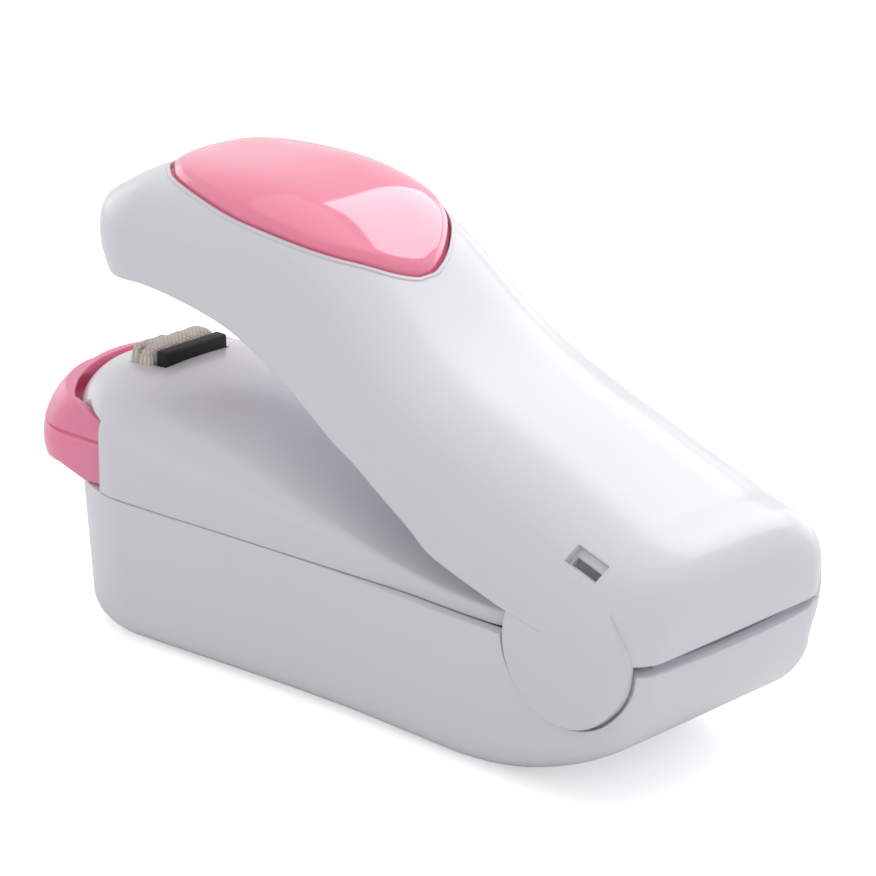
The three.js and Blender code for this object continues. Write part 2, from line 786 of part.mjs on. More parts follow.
function upperShell() {
  let body = upperBody(0, seamHeight + fitGap / 3);
  const cavity = upperBody(shellWall, seamHeight - overrun);
  const seat = block(heaterX - heaterWidth, rubberX + rubberWidth + shellWall,
      -heaterLength / 2 - 2 * shellWall,
    heaterLength / 2 + 2 * shellWall, heaterTop - blockDepth - shellWall, domeHeight);
  let keep = cavity.subtract(seat);
  for (const [x, y] of screwPlaces) {
    keep = keep.subtract(bar('z', screwBossRadius, 0, domeHeight, [x, y, 0], bossSides));
  }
  keep = keep.subtract(bothSides(bar('y', pinRadius + 2 * shellWall, lobeInner - 3 * shellWall, halfWidth,
    [pivotX, 0, pivotHeight], roundSides)));
  body = body.subtract(keep);
  const postTop = upperCrest(armSpringX) + springPostHeight;
  const postLow = postTop - springPostHeight - shellWall / 2;
  body = body.add(bar('z', springPostRadius, postLow, postTop, [armSpringX, 0, 0], bossSides));
  body = body.subtract(bar('y', pinRadius + runningGap, -halfWidth, halfWidth, [pivotX, 0,
      pivotHeight], pinSides));
  body = body.subtract(blockCut(heaterX, heaterWidth, heaterLength, heaterTop - blockDepth));
  body = body.subtract(blockCut(rubberX, rubberWidth, rubberLength, rubberTop - rubberDepth));
  for (const [x, y] of screwPlaces) {
    const tip = Math.min(screwLength + heelHeight(x) + 2 * screwHeadHeight, seamHeight + screwLength / 2);
    body = body.subtract(bar('z', screwShankRadius + fitGap / 2, 0, tip + fitGap, [x, y, 0], smallSides));
  }
  body = body.subtract(bar('z', pegRadius + 3 * fitGap, seamHeight, armTop, [switchX, 0, 0], bossSides));
  body = body.subtract(bothSides(sidePrism(cheekRecess(), bailInner - fitGap, halfWidth + overrun)));
  const pinHole = bar('y', bailPinRadius + fitGap, bailInner - bailPinLength - 2 * fitGap, halfWidth,
    [bailPinX, 0, bailPinHeight], bossSides);
  return body.subtract(bothSides(pinHole));
}

function blockCut(x, width, length, floor) {
  return block(x - width / 2 - fitGap / 2, x + width / 2 + fitGap / 2, -length / 2 - fitGap,
      length / 2 + fitGap,
    floor, armTop);
}

// Heater: a block, the ribbon that heats and a woven cover over both
function heaterBlock() {
  const top = heaterTop - clothThickness - ribbonThickness - 2 * fitGap;
  return block(heaterX - heaterWidth / 2 + clothThickness + fitGap,
      heaterX + heaterWidth / 2 - clothThickness - fitGap,
    -heaterLength / 2, heaterLength / 2, heaterTop - blockDepth + fitGap, top);
}

function heaterRibbon() {
  const low = heaterTop - clothThickness - ribbonThickness - fitGap;
  return block(heaterX - ribbonWidth / 2, heaterX + ribbonWidth / 2, -heaterLength / 2, heaterLength / 2,
    low, low + ribbonThickness);
}

function heaterCloth() {
  const half = heaterWidth / 2;
  const low = heaterTop - blockDepth / 2;
  const outer = block(heaterX - half, heaterX + half, -heaterLength / 2, heaterLength / 2, low, heaterTop);
  const inner = block(heaterX - half + clothThickness, heaterX + half - clothThickness, -heaterLength,
      heaterLength,
    low - overrun, heaterTop - clothThickness);
  return outer.subtract(inner);
}

function rubberStrip() {
  const half = rubberLength / 2;
  const shape = new THREE.Shape();
  const low = rubberTop - rubberDepth + fitGap;
  shape.moveTo(-half, low);
  shape.lineTo(half, low);
  shape.lineTo(half, rubberTop - rubberChamfer);
  shape.lineTo(half - rubberChamfer, rubberTop);
  shape.lineTo(-half + rubberChamfer, rubberTop);
  shape.lineTo(-half, rubberTop - rubberChamfer);
  shape.closePath();
  const geometry = new THREE.ExtrudeGeometry(shape, { depth: rubberWidth, bevelEnabled: false });
  geometry.rotateX(Math.PI / 2).rotateZ(Math.PI / 2);
  geometry.translate(rubberX - rubberWidth / 2, 0, 0);
  return solid(geometry);
}

// Cells lie side by side, one each way round
function cell(side) {
  const y = side * cellSpacing / 2;
  const springEnd = contactPlate + contactSpringLength + 2 * fitGap;
  const low = side > 0 ? bayFrontX + springEnd : bayFrontX + contactPlate + cellCapHeight + 2 * fitGap;
  const can = bar('x', cellRadius, low, low + cellLength, [0, y, cellHeight], cellSides);
  const capLow = side > 0 ? low : low - cellCapHeight;
  return can.add(bar('x', cellCapRadius, capLow, capLow + cellLength + cellCapHeight, [0, y,
      cellHeight], bossSides));
}

function cellSpring(side) {
  const y = side * cellSpacing / 2;
  const x = side > 0 ? bayFrontX + contactPlate + contactSpringLength / 2 + fitGap
    : bayRearX - contactPlate - contactSpringLength / 2 - fitGap;
  return coil(`battery spring ${side > 0 ? 1 : 2}`, 'x', contactSpringRadius, contactWire, contactCurls,
    contactSpringLength, [x, y, cellHeight]);
}

function contactPlates(front, yLow, yHigh) {
  const x = front ? bayFrontX + fitGap / 2 : bayRearX - contactPlate - fitGap / 2;
  return block(x, x + contactPlate, yLow, yHigh, cellHeight - contactPlateWidth / 2,
      cellHeight + contactPlateWidth / 2);
}

function batteryDoor() {
  const plate = block(doorFrontX, doorRearX, -doorHalfWidth, doorHalfWidth, 0, doorThickness);
  let body = plate.intersect(lowerBody(0, seamHeight));
  const grip = doorRim;
  for (let i = 0; i < doorGrooves; i += 1) {
    const x = doorRearX - doorMargin - 2 * grip * (i + 1);
    body = body.subtract(block(x, x + grip, -doorHalfWidth / 3, doorHalfWidth / 3, -overrun,
        doorThickness / 3));
  }
  return body;
}

function screw(x, y, floor) {
  const head = bar('z', screwHeadRadius, floor + screwHeadHeight, floor + 2 * screwHeadHeight - fitGap,
      [x, y, 0], bossSides);
  const shank = bar('z', screwShankRadius, floor + screwHeadHeight, floor + screwLength, [x, y, 0],
      smallSides);
  const drive = screwDriveWidth / 2;
  const low = floor + screwHeadHeight;
  const reach = screwHeadRadius * screwDriveShare;
  const deep = low + screwDriveDepth;
  const along = block(x - reach, x + reach, y - drive, y + drive, low - overrun, deep);
  const across = block(x - drive, x + drive, y - reach, y + reach, low - overrun, deep);
  return head.add(shank).subtract(along).subtract(across);
}

// Lock bail: a square-fronted band round the jaw end, with cheeks that turn on two pins
function bailRing(rise, z, wall) {
  const half = [];
  const steps = 6;
  const inset = rise + wall;
  const corner = bailCornerRadius + rise - wall;
  const front = bailFrontX + inset;
  const flat = bailHalfWidth - inset - corner;
  for (let i = 0; i <= 2; i += 1) {
    const y = flat * i / 2;
    half.push([front + rearBow * (y / flat) ** 2, y]);
  }
  for (let i = 1; i <= steps; i += 1) {
    const angle = Math.PI / 2 * i / steps;
    half.push([front + rearBow + corner * (1 - Math.cos(angle)), flat + corner * Math.sin(angle)]);
  }
  half.push([bailEndX, bailHalfWidth - inset]);
  const ring = half.map(([x, y]) => new THREE.Vector3(x, y, z));
  for (let i = half.length - 1; i > 0; i -= 1) ring.push(new THREE.Vector3(half[i][0], -half[i][1], z));
  return ring;
}

// Side outlines of the bail's rim and of the recess that its cheeks lie in
function aboveRim() {
  const shape = new THREE.Shape();
  shape.moveTo(bailFrontX - overrun, bailHigh);
  shape.lineTo(bailFrontX + bailWall, bailHigh);
  shape.lineTo(bailPocketEndX, bailRimLow);
  shape.lineTo(bailEndX, bailCheekHigh);
  shape.lineTo(bailEndX + overrun, bailCheekHigh);
  shape.lineTo(bailEndX + overrun, armTop);
  shape.lineTo(bailFrontX - overrun, armTop);
  shape.closePath();
  return shape;
}

function cheekRecess() {
  const shape = new THREE.Shape();
  shape.moveTo(bailFrontX - overrun, seamHeight - overrun);
  shape.lineTo(bailEndX + bailRearGap, seamHeight - overrun);
  shape.lineTo(bailEndX + bailRearGap, bailCheekHigh + bailTopGap);
  shape.lineTo(bailPocketEndX, bailRimLow + bailTopGap);
  shape.lineTo(bailFrontX - overrun, bailRimLow + bailTopGap);
  shape.closePath();
  return shape;
}

function sidePrism(shape, yLow, yHigh) {
  const geometry = new THREE.ExtrudeGeometry(shape, { depth: yHigh - yLow, bevelEnabled: false });
  geometry.rotateX(Math.PI / 2).translate(0, yHigh, 0);
  return solid(geometry);
}

function bailSolid(skin, wall) {
  return solid(loft(skin.map(([inset, z]) => bailRing(inset, z, wall))));
}

function lockBail() {
  const skin = [
    [bailFootInset, seamHeight + bailCheekFootRise], [0, seamHeight + bailCreaseRise],
    [bailShoulderInset, bailRimLow - bailWall], [bailRimInset, bailHigh],
  ];
  let body = bailSolid(skin, 0);
  const bore = bar('z', frontRadius + bailGap, 0, armTop, [frontCentreX, 0, 0], hubSides).intersect(
    block(-halfLength - overrun, 0, -bailInner, bailInner, 0, armTop));
  body = body.subtract(bore);
  body = body.subtract(block(bailPocketEndX, 0, -bailInner, bailInner, 0, armTop));
  body = body.subtract(block(-halfLength - overrun, bailFrontX + bailCheekStepLength, -halfWidth,
    halfWidth, 0, seamHeight + bailFootRise));
  const pocket = bailSolid(skin, bailWall).intersect(
    block(-halfLength, bailPocketEndX, -halfWidth, halfWidth, seamHeight + bailPocketRise, armTop));
  body = body.subtract(pocket);
  body = body.subtract(sidePrism(aboveRim(), -halfWidth, halfWidth));
  const pin = bar('y', bailPinRadius, bailInner - bailPinLength, bailInner + bailCheekThickness / 2,
    [bailPinX, 0, bailPinHeight], bossSides);
  return body.add(bothSides(pin));
}

function pivotPin() {
  const reach = halfWidth - pinCapWall - fitGap;
  return bar('y', pinRadius, -reach, reach, [pivotX, 0, pivotHeight], pinSides);
}

function baseMagnet() {
  return bar('z', magnetRadius, 0, magnetHeight, [magnetX, 0, 0], roundSides);
}

// The switch stands on the bay's roof, with its button below the arm's peg
function microSwitch() {
  const top = seamHeight + switchHeight;
  const box = block(switchX - switchLength / 2, switchX + switchLength / 2, -switchWidth / 2,
      switchWidth / 2,
    bayRoof + bayWall + fitGap, top);
  return box.add(bar('z', switchButtonRadius, seamHeight, top + switchButtonHeight, [switchX, 0, 0],
      smallSides));
}

// Arm pieces, drawn closed
function armShell(outer) {
  const drop = overrun;
  let body = outer.subtract(armBody(shellWall, drop));
  const well = padPrism(wellWall + slideGap, 0, 2 * armTop).intersect(outer);
  body = body.add(well.subtract(outer.translate([0, 0, -wellDepth - wellFloor])));
  body = body.subtract(padPrism(slideGap, 0, 2 * armTop).subtract(outer.translate([0, 0, -wellDepth])));
  const lobe = bar('y', lobeRadius, lobeInner, halfWidth + fitGap, [pivotX, 0, pivotHeight], hubSides);
  const cheek = sidePrism(cheekOutline(), lobeInner, halfWidth + fitGap);
  body = body.add(bothSides(lobe.add(cheek).intersect(sideColumn())));
  body = body.subtract(bar('y', pinRadius + runningGap, -halfWidth + pinCapWall, halfWidth - pinCapWall,
    [pivotX, 0, pivotHeight], pinSides));
  return body.subtract(slotCut(slotLength, 2 * slotDepth, slotHeight, 0))
    .subtract(slotCut(slotHoleLength, 4 * shellWall, slotHoleHeight, -slotHoleDrop));
}

// The arm's sides carried straight down, so that the hinge lobes lie flush with them
function sideColumn() {
  const xs = stations(pivotX - lobeRadius - fitGap, pivotX + lobeRadius + fitGap, sectionSteps);
  const low = pivotHeight - lobeRadius - fitGap;
  return solid(loft(xs.map((x) => {
    const s = armShape(x, 0);
    const behind = Math.max(x - pivotX, 0) / lobeRadius;
    const cornerLoss = readTable(armWidthShares, x / halfLength) * halfWidth - s.half;
    const half = halfWidth - lobeRecess - cornerLoss;
    return archRing(x, half, low, s.skirt, s.crest - cheekFall * behind, armRound);
  })));
}

// Side outline of the cheek that carries a lobe up into the arm, with a slanted rear edge
function cheekOutline() {
  const shape = new THREE.Shape();
  shape.moveTo(pivotX, pivotHeight);
  shape.lineTo(pivotX + lobeRadius, pivotHeight);
  shape.lineTo(pivotX + cheekReach, pivotHeight + cheekRise);
  shape.lineTo(pivotX, pivotHeight + cheekRise);
  shape.closePath();
  return shape;
}

// A box that stands square to the arm's side, for the recess of the vent slot and for its opening
function slotCut(length, depth, height, drop) {
  const cut = new THREE.BoxGeometry(length, depth, height);
  cut.translate(0, 0, drop).rotateX(-slotLean).rotateY(slotTilt);
  cut.translate(slotX, slotInset - halfWidth, pivotHeight + slotRise);
  return solid(cut);
}

// Underside of the plate that closes the arm from below: flat over the jaw, then following the skirt
function plateLow(x) {
  const skirt = pivotHeight + readTable(skirtShares, x / halfLength) * armRise;
  const dome = seamHeight + readTable(domeShares, x / halfLength) * domeRise;
  const level = Math.max(skirt, dome) + plateLift + readTable(plateRiseShares, x / halfLength) * plateRise;
  return x < heaterX + jawStripWidth ? Math.max(level, jawBottom + jawStripThickness) : level;
}

function armPlate(outer) {
  const xs = stations(noseTipX + shellWall + fitGap, plateEndX, plateStations);
  const rings = xs.map((x) => {
    const s = armShape(x, shellWall + fitGap);
    const half = Math.max(s.half * skirtTuckShare - fitGap, fitGap);
    const low = plateLow(x);
    return [
      new THREE.Vector3(x, -half, low), new THREE.Vector3(x, half, low),
      new THREE.Vector3(x, half, low + plateThickness), new THREE.Vector3(x, -half, low + plateThickness),
    ];
  });
  const room = padPrism(wellWall + slideGap + fitGap, 0, 2 * armTop)
    .subtract(outer.translate([0, 0, -wellDepth - wellFloor - fitGap]));
  const sheet = solid(loft(rings)).intersect(armBody(shellWall + fitGap, overrun)).subtract(room);
  const pegLow = seamHeight + switchHeight + switchButtonHeight + 2 * fitGap;
  const peg = bar('z', pegRadius, pegLow, plateLow(switchX) + plateThickness / 2, [switchX, 0, 0],
      bossSides);
  return sheet.add(peg);
}

function jawStrip() {
  return block(heaterX - jawStripWidth / 2, heaterX + jawStripWidth / 2, -heaterLength / 2 - shellWall,
    heaterLength / 2 + shellWall, jawBottom, jawBottom + jawStripThickness);
}

// Colours: those in view are read from the photograph
const white = 0xe9e9f1;
const whiteInner = 0xdcdce4;
const pink = 0xf48fb1;
const lockPink = 0xe97fa2;
const black = 0x232326;
const cloth = 0xb9b0a6;
const steel = 0xc4c6ca;
const magnetGrey = 0xb0b2b6;
const cellBlue = 0x3d6f9e;
const ceramic = 0xd9cdb8;
const foil = 0x9a9a98;
const silicone = 0xb9503c;

const sealer = new THREE.Group();
const armGroup = new THREE.Group();
armGroup.position.set(pivotX, 0, pivotHeight);
armGroup.rotation.y = openAngle;
const armLocal = new THREE.Group();
armLocal.position.set(-pivotX, 0, -pivotHeight);
armGroup.add(armLocal);
sealer.add(armGroup);

sealer.add(piece('base_lower_shell', lowerShell(), white, 0.22, 0));
sealer.add(piece('base_upper_shell', upperShell(), white, 0.22, 0));
sealer.add(piece('battery_door', batteryDoor(), white, 0.3, 0));
sealer.add(piece('battery_cell_1', cell(1), cellBlue, 0.35, 0.3));
sealer.add(piece('battery_cell_2', cell(-1), cellBlue, 0.35, 0.3));
sealer.add(piece('battery_spring_1', cellSpring(1), steel, 0.3, 1));
sealer.add(piece('battery_spring_2', cellSpring(-1), steel, 0.3, 1));
sealer.add(piece('series_link_plate', contactPlates(false, -bayHalfWidth + fitGap,
    bayHalfWidth - fitGap), steel, 0.3, 1));
sealer.add(piece('contact_plate_1', contactPlates(true, fitGap, bayHalfWidth - fitGap), steel, 0.3, 1));
sealer.add(piece('contact_plate_2', contactPlates(true, -bayHalfWidth + fitGap, -fitGap), steel, 0.3, 1));
sealer.add(piece('heater_block', heaterBlock(), ceramic, 0.7, 0));
sealer.add(piece('heater_ribbon', heaterRibbon(), foil, 0.35, 1));
sealer.add(piece('heater_cloth', heaterCloth(), cloth, 0.85, 0));
sealer.add(piece('rubber_strip', rubberStrip(), black, 0.6, 0));
sealer.add(piece('lock_bail', lockBail(), lockPink, 0.28, 0));
sealer.add(piece('pivot_pin', pivotPin(), steel, 0.25, 1));
screwPlaces.forEach(([x, y], i) => {
  sealer.add(piece(`base_screw_${i + 1}`, screw(x, y, heelHeight(x)), steel, 0.3, 1));
});
sealer.add(piece('base_magnet', baseMagnet(), magnetGrey, 0.25, 1));
sealer.add(piece('arm_spring', armSpring(), steel, 0.3, 1));
sealer.add(piece('micro_switch', microSwitch(), black, 0.5, 0));

const outerArm = armBody(0, 0);
armLocal.add(piece('arm_shell', armShell(outerArm), white, 0.2, 0));
armLocal.add(piece('arm_inner_plate', armPlate(outerArm), whiteInner, 0.35, 0));
armLocal.add(piece('jaw_silicone_strip', jawStrip(), silicone, 0.6, 0));
armLocal.add(piece('thumb_spring', thumbSpring(), steel, 0.3, 1));
armLocal.add(piece('thumb_pad', thumbPad(), pink, 0.16, 0));

export default sealer;
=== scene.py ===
import bpy
import bmesh
import math
from mathutils import Matrix, Vector


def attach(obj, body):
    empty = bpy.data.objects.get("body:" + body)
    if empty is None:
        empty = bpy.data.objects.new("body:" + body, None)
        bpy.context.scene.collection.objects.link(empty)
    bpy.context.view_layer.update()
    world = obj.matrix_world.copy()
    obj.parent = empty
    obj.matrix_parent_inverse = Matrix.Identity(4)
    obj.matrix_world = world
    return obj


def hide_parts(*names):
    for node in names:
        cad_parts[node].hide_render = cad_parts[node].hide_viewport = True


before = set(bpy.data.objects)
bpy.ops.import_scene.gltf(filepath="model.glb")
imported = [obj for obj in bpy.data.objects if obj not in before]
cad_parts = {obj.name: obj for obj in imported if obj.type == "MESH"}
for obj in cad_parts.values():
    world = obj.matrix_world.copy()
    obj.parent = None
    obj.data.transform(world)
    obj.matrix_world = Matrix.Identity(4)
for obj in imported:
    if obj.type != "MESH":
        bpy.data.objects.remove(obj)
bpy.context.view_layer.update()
MM = 0.001

# Sizes in millimetres
HALF_LENGTH, HALF_WIDTH, SEAM, DOME, ARM_TOP = 60, 21.3, 21.6, 37.5, 56.4
OPEN = math.radians(10.4)
WALL, GAP, SLIDE = 1.6, 0.3, 0.45
# How far cuts run past what they cut, and the skin left under inner fittings
OVER, REACH, SKIN = 4, 80, 0.01
# How many sides bars have; small ones are pins, screw heads and the spring's post
SHANK_SIDES, BOSS_SIDES, SMALL_SIDES, SWITCH_SIDES = 16, 24, 32, 40
MAGNET_SIDES, PLAIN_SIDES, LOBE_SIDES, BORE_SIDES = 48, 64, 96, 160

# Hinge
PIVOT_X, PIVOT_Z, PIN_R, PIN_CLEAR, PIN_COVER = 46.5, 21.7, 2, 0.1, 1
PIVOT = (PIVOT_X, 0, PIVOT_Z)
LOBE_R, LOBE_T, LOBE_RECESS, LOBE_EDGE = 10.3, 2.5, 0.05, 0.45
LOBE_IN = HALF_WIDTH - LOBE_T
CHEEK_REACH, CHEEK_RISE, CHEEK_FALL = 4.3, 12, 4

# Base
FRONT_R, FRONT_CX = 20.6, -35.4
REAR_X, REAR_BOW, REAR_CORNER, REAR_DROP_EDGE, REAR_RUN = 58.6, 0.8, 5.6, 1, 9
FILLET, DRAFT, HEEL_X, HEEL_R, SEAM_SOFT = 4.2, 1.1, 24.5, 52, 0.22
CURB_X, CURB_T, CURB_HALF, CURB_LOW, CURB_HIGH = 56.9, 1.4, 15, 17, 23.4
UPPER_REAR, UPPER_ROUND, UPPER_PINCH, UPPER_DROP, DOME_ROUND = 54, 3, 0.12, 0.7, 2.3
BAY_X, BAY_LEN, BAY_HALF, BAY_ROOF, BAY_WALL = -4.5, 57, 15.15, 16.7, 1.2
BAY_FRONT, BAY_REAR = BAY_X - BAY_LEN / 2, BAY_X + BAY_LEN / 2
DOOR_T, DOOR_MARGIN = 1.6, 1.4
SCREWS = [(-39.2, 11.5), (-39.2, -11.5), (33.2, 13), (33.2, -13)]
BOSS_R, HEAD_R, HEAD_H, SHANK_R = 3, 2.2, 2.6, 1
MAGNET_X, MAGNET_R, MAGNET_H = -45.1, 4, 1.4
SPRING_X, POST_R, POST_RISE, POST_EDGE = 22.6, 2.4, 2, 0.3
SWITCH_X, SWITCH_R = 6, 1.6

# Arm
NOSE_R, NOSE_TIP, NOSE_Z, NOSE_BROW, NOSE_LEAN, NOSE_RUN = 17.4, -60.1, 44.8, 2.4, 5.8, 20
ARM_REAR, ARM_CORNER, ARM_ROUND, TAIL_ROUND, TAIL_DROP = 58.5, 5.8, 3.5, 2.2, 1.05
TUCK, TUCK_END, TUCK_RISE, LEAST = 0.955, 0.17, 4, 0.02
SLOT_L, SLOT_H, SLOT_D, SLOT_X, SLOT_Y, SLOT_Z = 5.4, 2.8, 0.8, 46, 17.9, 12.1
HOLE_L, HOLE_H, HOLE_DROP = 4.4, 1.2, 0.5
SLOT_TILT, SLOT_LEAN = math.radians(8), math.radians(43)

# Thumb pad and its well
PAD_FRONT, PAD_LEN, PAD_HALF, PAD_LIFT, PAD_THICK, PAD_EDGE = -46.75, 43.95, 14.45, 1.1, 3.4, 1.1
PAD_GAP, LIP_WIDTH, LIP_RISE = 0.4, 0.38, 0.16
FLANGE, FLANGE_TOP, FLANGE_EASE = 0.28, -0.55, 0.15
WELL_DEPTH, WELL_FLOOR, WELL_WALL, WELL_LOW = 5.6, 1.2, 1.3, 30

# Heater and rubber strip
HEATER_X, HEATER_W, HEATER_L, HEATER_TOP, HEATER_DEPTH = -45.8, 4.6, 12.6, 39.1, 7
RUBBER_W, RUBBER_L, RUBBER_TOP, RUBBER_DEPTH, RUBBER_EDGE = 2.1, 12.2, 38.9, 5.4, 0.35
RUBBER_X = HEATER_X + HEATER_W / 2 + RUBBER_W / 2 + GAP
COVER_DEPTH, COVER_SIDE, COVER_END, COVER_BACK, COVER_TURN = 3.6, 0.1, 0.5, 0.6, 1.3
FOLD_SPLIT, FOLD_GAP = 1.95, 0.15
FAR_FOLD_SIDE, FAR_FOLD_END, FAR_FOLD_DROP, FAR_FOLD_TURN = 0.05, 0.25, 0.05, 0.8
NEAR_FOLD_END, NEAR_FOLD_DROP, NEAR_FOLD_TURN = 0.75, 0.1, 0.9
RIPPLE, RIPPLE_RATE = 0.05, 2.1
# The pillow's section, and what its ends keep of its width and of its height
PILLOW_ROUND, PILLOW_WIDTH_LEFT, PILLOW_HEIGHT_LEFT = 3.2, 0.7, 0.35

# Lock bail
BAIL_FRONT, BAIL_HALF, BAIL_CORNER, BAIL_END, BAIL_WALL = -60, 18.9, 9.5, -42, 2.2
BAIL_LOW, BAIL_CHEEK_LOW, BAIL_STEP_X, FOOT_LEAD, FOOT_RUN = 23.7, 22.1, -49.5, 1, 4
BAIL_HIGH, BAIL_RIM_LOW, BAIL_CHEEK_HIGH, BAIL_RIM_IN, BAIL_GAP = 34.6, 33.2, 31.4, 2.2, 0.9
BAIL_CHEEK, BAIL_REAR_GAP, BAIL_TOP_GAP = 2.4, 0.9, 0.8
BAIL_POCKET_FLOOR, BAIL_POCKET_END, BAIL_POCKET_RUN = 30.6, -48.6, 1.2
BAIL_PIN_X, BAIL_PIN_Z, BAIL_PIN_R, BAIL_PIN_L = -44.9, 26.8, 1.3, 1.5
BAIL_PIN = (BAIL_PIN_X, 0, BAIL_PIN_Z)
BAIL_IN = BAIL_HALF - BAIL_CHEEK
# How far the bail's skin lies inside its widest outline, and at which height
BAIL_SKIN = [(0.5, BAIL_CHEEK_LOW), (0.2, 23.6), (0.04, 25), (0, 26.6), (0.1, 28), (0.16, 28.1),
             (0.52, 28.3), (0.5, 28.55), (0.16, 28.75), (0.4, 30), (0.75, 31.4), (1.3, 32.9),
             (BAIL_RIM_IN, BAIL_HIGH)]

# Outlines as shares: the place over the half length, then the width or the rise there
BASE_WIDTH_SHARES = [(-0.578, 0.96), (-0.5, 0.955), (-0.35, 0.938), (-0.18, 0.924), (-0.03, 0.918),
                     (0.13, 0.928), (0.28, 0.95), (0.45, 0.975), (0.62, 0.984), (0.9, 0.982)]
UPPER_WIDTH_SHARES = [(-0.578, 0.96), (-0.5, 0.955), (-0.35, 0.938), (-0.18, 0.922), (-0.03, 0.908),
                      (0.13, 0.896), (0.28, 0.884), (0.38, 0.895), (0.46, 0.903), (0.56, 0.9),
                      (0.585, 0.88), (0.605, 0.862), (0.78, 0.85), (0.92, 0.8)]
WALL_TOP_SHARES = [(-1, 0.62), (-0.75, 0.57), (-0.55, 0.43), (-0.4, 0.33), (-0.2, 0.3), (0, 0.29),
                   (0.12, 0.26), (0.25, 0.18), (0.4, 0.13), (0.92, 0.12)]
DOME_RISE_SHARES = [(-1, 0.98), (-0.8, 0.985), (-0.6, 0.98), (-0.42, 0.945), (-0.25, 0.84), (-0.08, 0.66),
                    (0.08, 0.5), (0.25, 0.34), (0.42, 0.26), (0.7, 0.24), (0.92, 0.22)]
ARM_WIDTH_SHARES = [(-1, 0.8), (-0.7, 0.818), (-0.5, 0.832), (-0.3, 0.856), (-0.15, 0.88), (0, 0.915),
                    (0.15, 0.95), (0.3, 0.978), (0.45, 0.994), (0.6, 1), (0.74, 1), (0.84, 0.975),
                    (0.92, 0.955), (1, 0.95)]
CREST_SHARES = [(-1.02, 0.59), (-0.9, 0.72), (-0.8, 0.838), (-0.62, 0.935), (-0.42, 1), (-0.25, 0.989),
                (-0.12, 0.907), (0.02, 0.767), (0.1, 0.694), (0.2, 0.633), (0.3, 0.595), (0.45, 0.549),
                (0.62, 0.493), (0.78, 0.445), (0.84, 0.438), (0.9, 0.43), (1, 0.409)]
SKIRT_SHARES = [(-1.02, 0.409), (-0.8, 0.43), (-0.62, 0.478), (-0.45, 0.494), (-0.34, 0.482),
                (-0.19, 0.421), (-0.11, 0.375), (-0.04, 0.336), (0.013, 0.304), (0.11, 0.265),
                (0.21, 0.208), (0.3, 0.151), (0.36, 0.104), (0.43, 0.083), (0.52, 0.066), (0.6, 0.052),
                (0.79, 0.047), (0.9, 0.057), (1, 0.083)]
# The pad's places are over its own length
PAD_WIDTH_SHARES = [(0, 0.055), (0.002, 0.105), (0.009, 0.22), (0.0205, 0.34), (0.032, 0.424),
                    (0.043, 0.48), (0.086, 0.61), (0.13, 0.722), (0.216, 0.833), (0.334, 0.93),
                    (0.445, 0.986), (0.548, 1), (0.673, 0.972), (0.764, 0.91), (0.83, 0.81), (0.877, 0.69),
                    (0.936, 0.475), (0.968, 0.323), (0.991, 0.165), (1, 0.07)]


def read(table, at):
    last = len(table) - 1
    if at <= table[0][0]:
        return table[0][1]
    if at >= table[last][0]:
        return table[last][1]
    i = 0
    while table[i + 1][0] < at:
        i += 1

    def slope(k):
        a, b = table[max(k - 1, 0)], table[min(k + 1, last)]
        return (b[1] - a[1]) / (b[0] - a[0])

    span = table[i + 1][0] - table[i][0]
    t = (at - table[i][0]) / span
    return ((1 + 2 * t) * (1 - t) ** 2 * table[i][1] + t * (1 - t) ** 2 * span * slope(i)
            + t * t * (3 - 2 * t) * table[i + 1][1] + t * t * (t - 1) * span * slope(i + 1))


# Meshes and booleans
def make(name, verts, faces):
    mesh = bpy.data.meshes.new(name)
    mesh.from_pydata([(v[0] * MM, v[1] * MM, v[2] * MM) for v in verts], [], faces)
    bm = bmesh.new()
    bm.from_mesh(mesh)
    bmesh.ops.recalc_face_normals(bm, faces=bm.faces)
    bm.to_mesh(mesh)
    bm.free()
    ob = bpy.data.objects.new(name, mesh)
    bpy.context.scene.collection.objects.link(ob)
    return ob


def loft(name, rings, close="fan"):
    count = len(rings[0])
    verts = [p for ring in rings for p in ring]
    faces = []
    for r in range(len(rings) - 1):
        for i in range(count):
            a, b = r * count + i, r * count + (i + 1) % count
            faces.append((a, b, b + count, a + count))
    for offset in (0, (len(rings) - 1) * count):
        if close == "fan":
            ring = verts[offset:offset + count]
            verts.append(tuple(sum(p[k] for p in ring) / count for k in range(3)))
            hub = len(verts) - 1
            faces += [(hub, offset + i, offset + (i + 1) % count) for i in range(count)]
        elif close == "mirrored":
            for i in range(count // 2 - 1):
                a, d = offset + i, offset + count - i - 1
                faces.append((a, a + 1, d) if i == 0 else (a, a + 1, d, d + 1))
            a = offset + count // 2 - 1
            faces.append((a, a + 1, a + 2))
        else:
            for i in range(count // 2 - 1):
                a, d = offset + i, offset + count - 2 - i
                faces.append((a, a + 1, d, d + 1))
    return make(name, verts, faces)


def box(x0, x1, y0, y1, z0, z1):
    v = [(x, y, z) for x in (x0, x1) for y in (y0, y1) for z in (z0, z1)]
    f = [(0, 1, 3, 2), (4, 6, 7, 5), (0, 4, 5, 1), (2, 3, 7, 6), (0, 2, 6, 4), (1, 5, 7, 3)]
    return make("box", v, f)


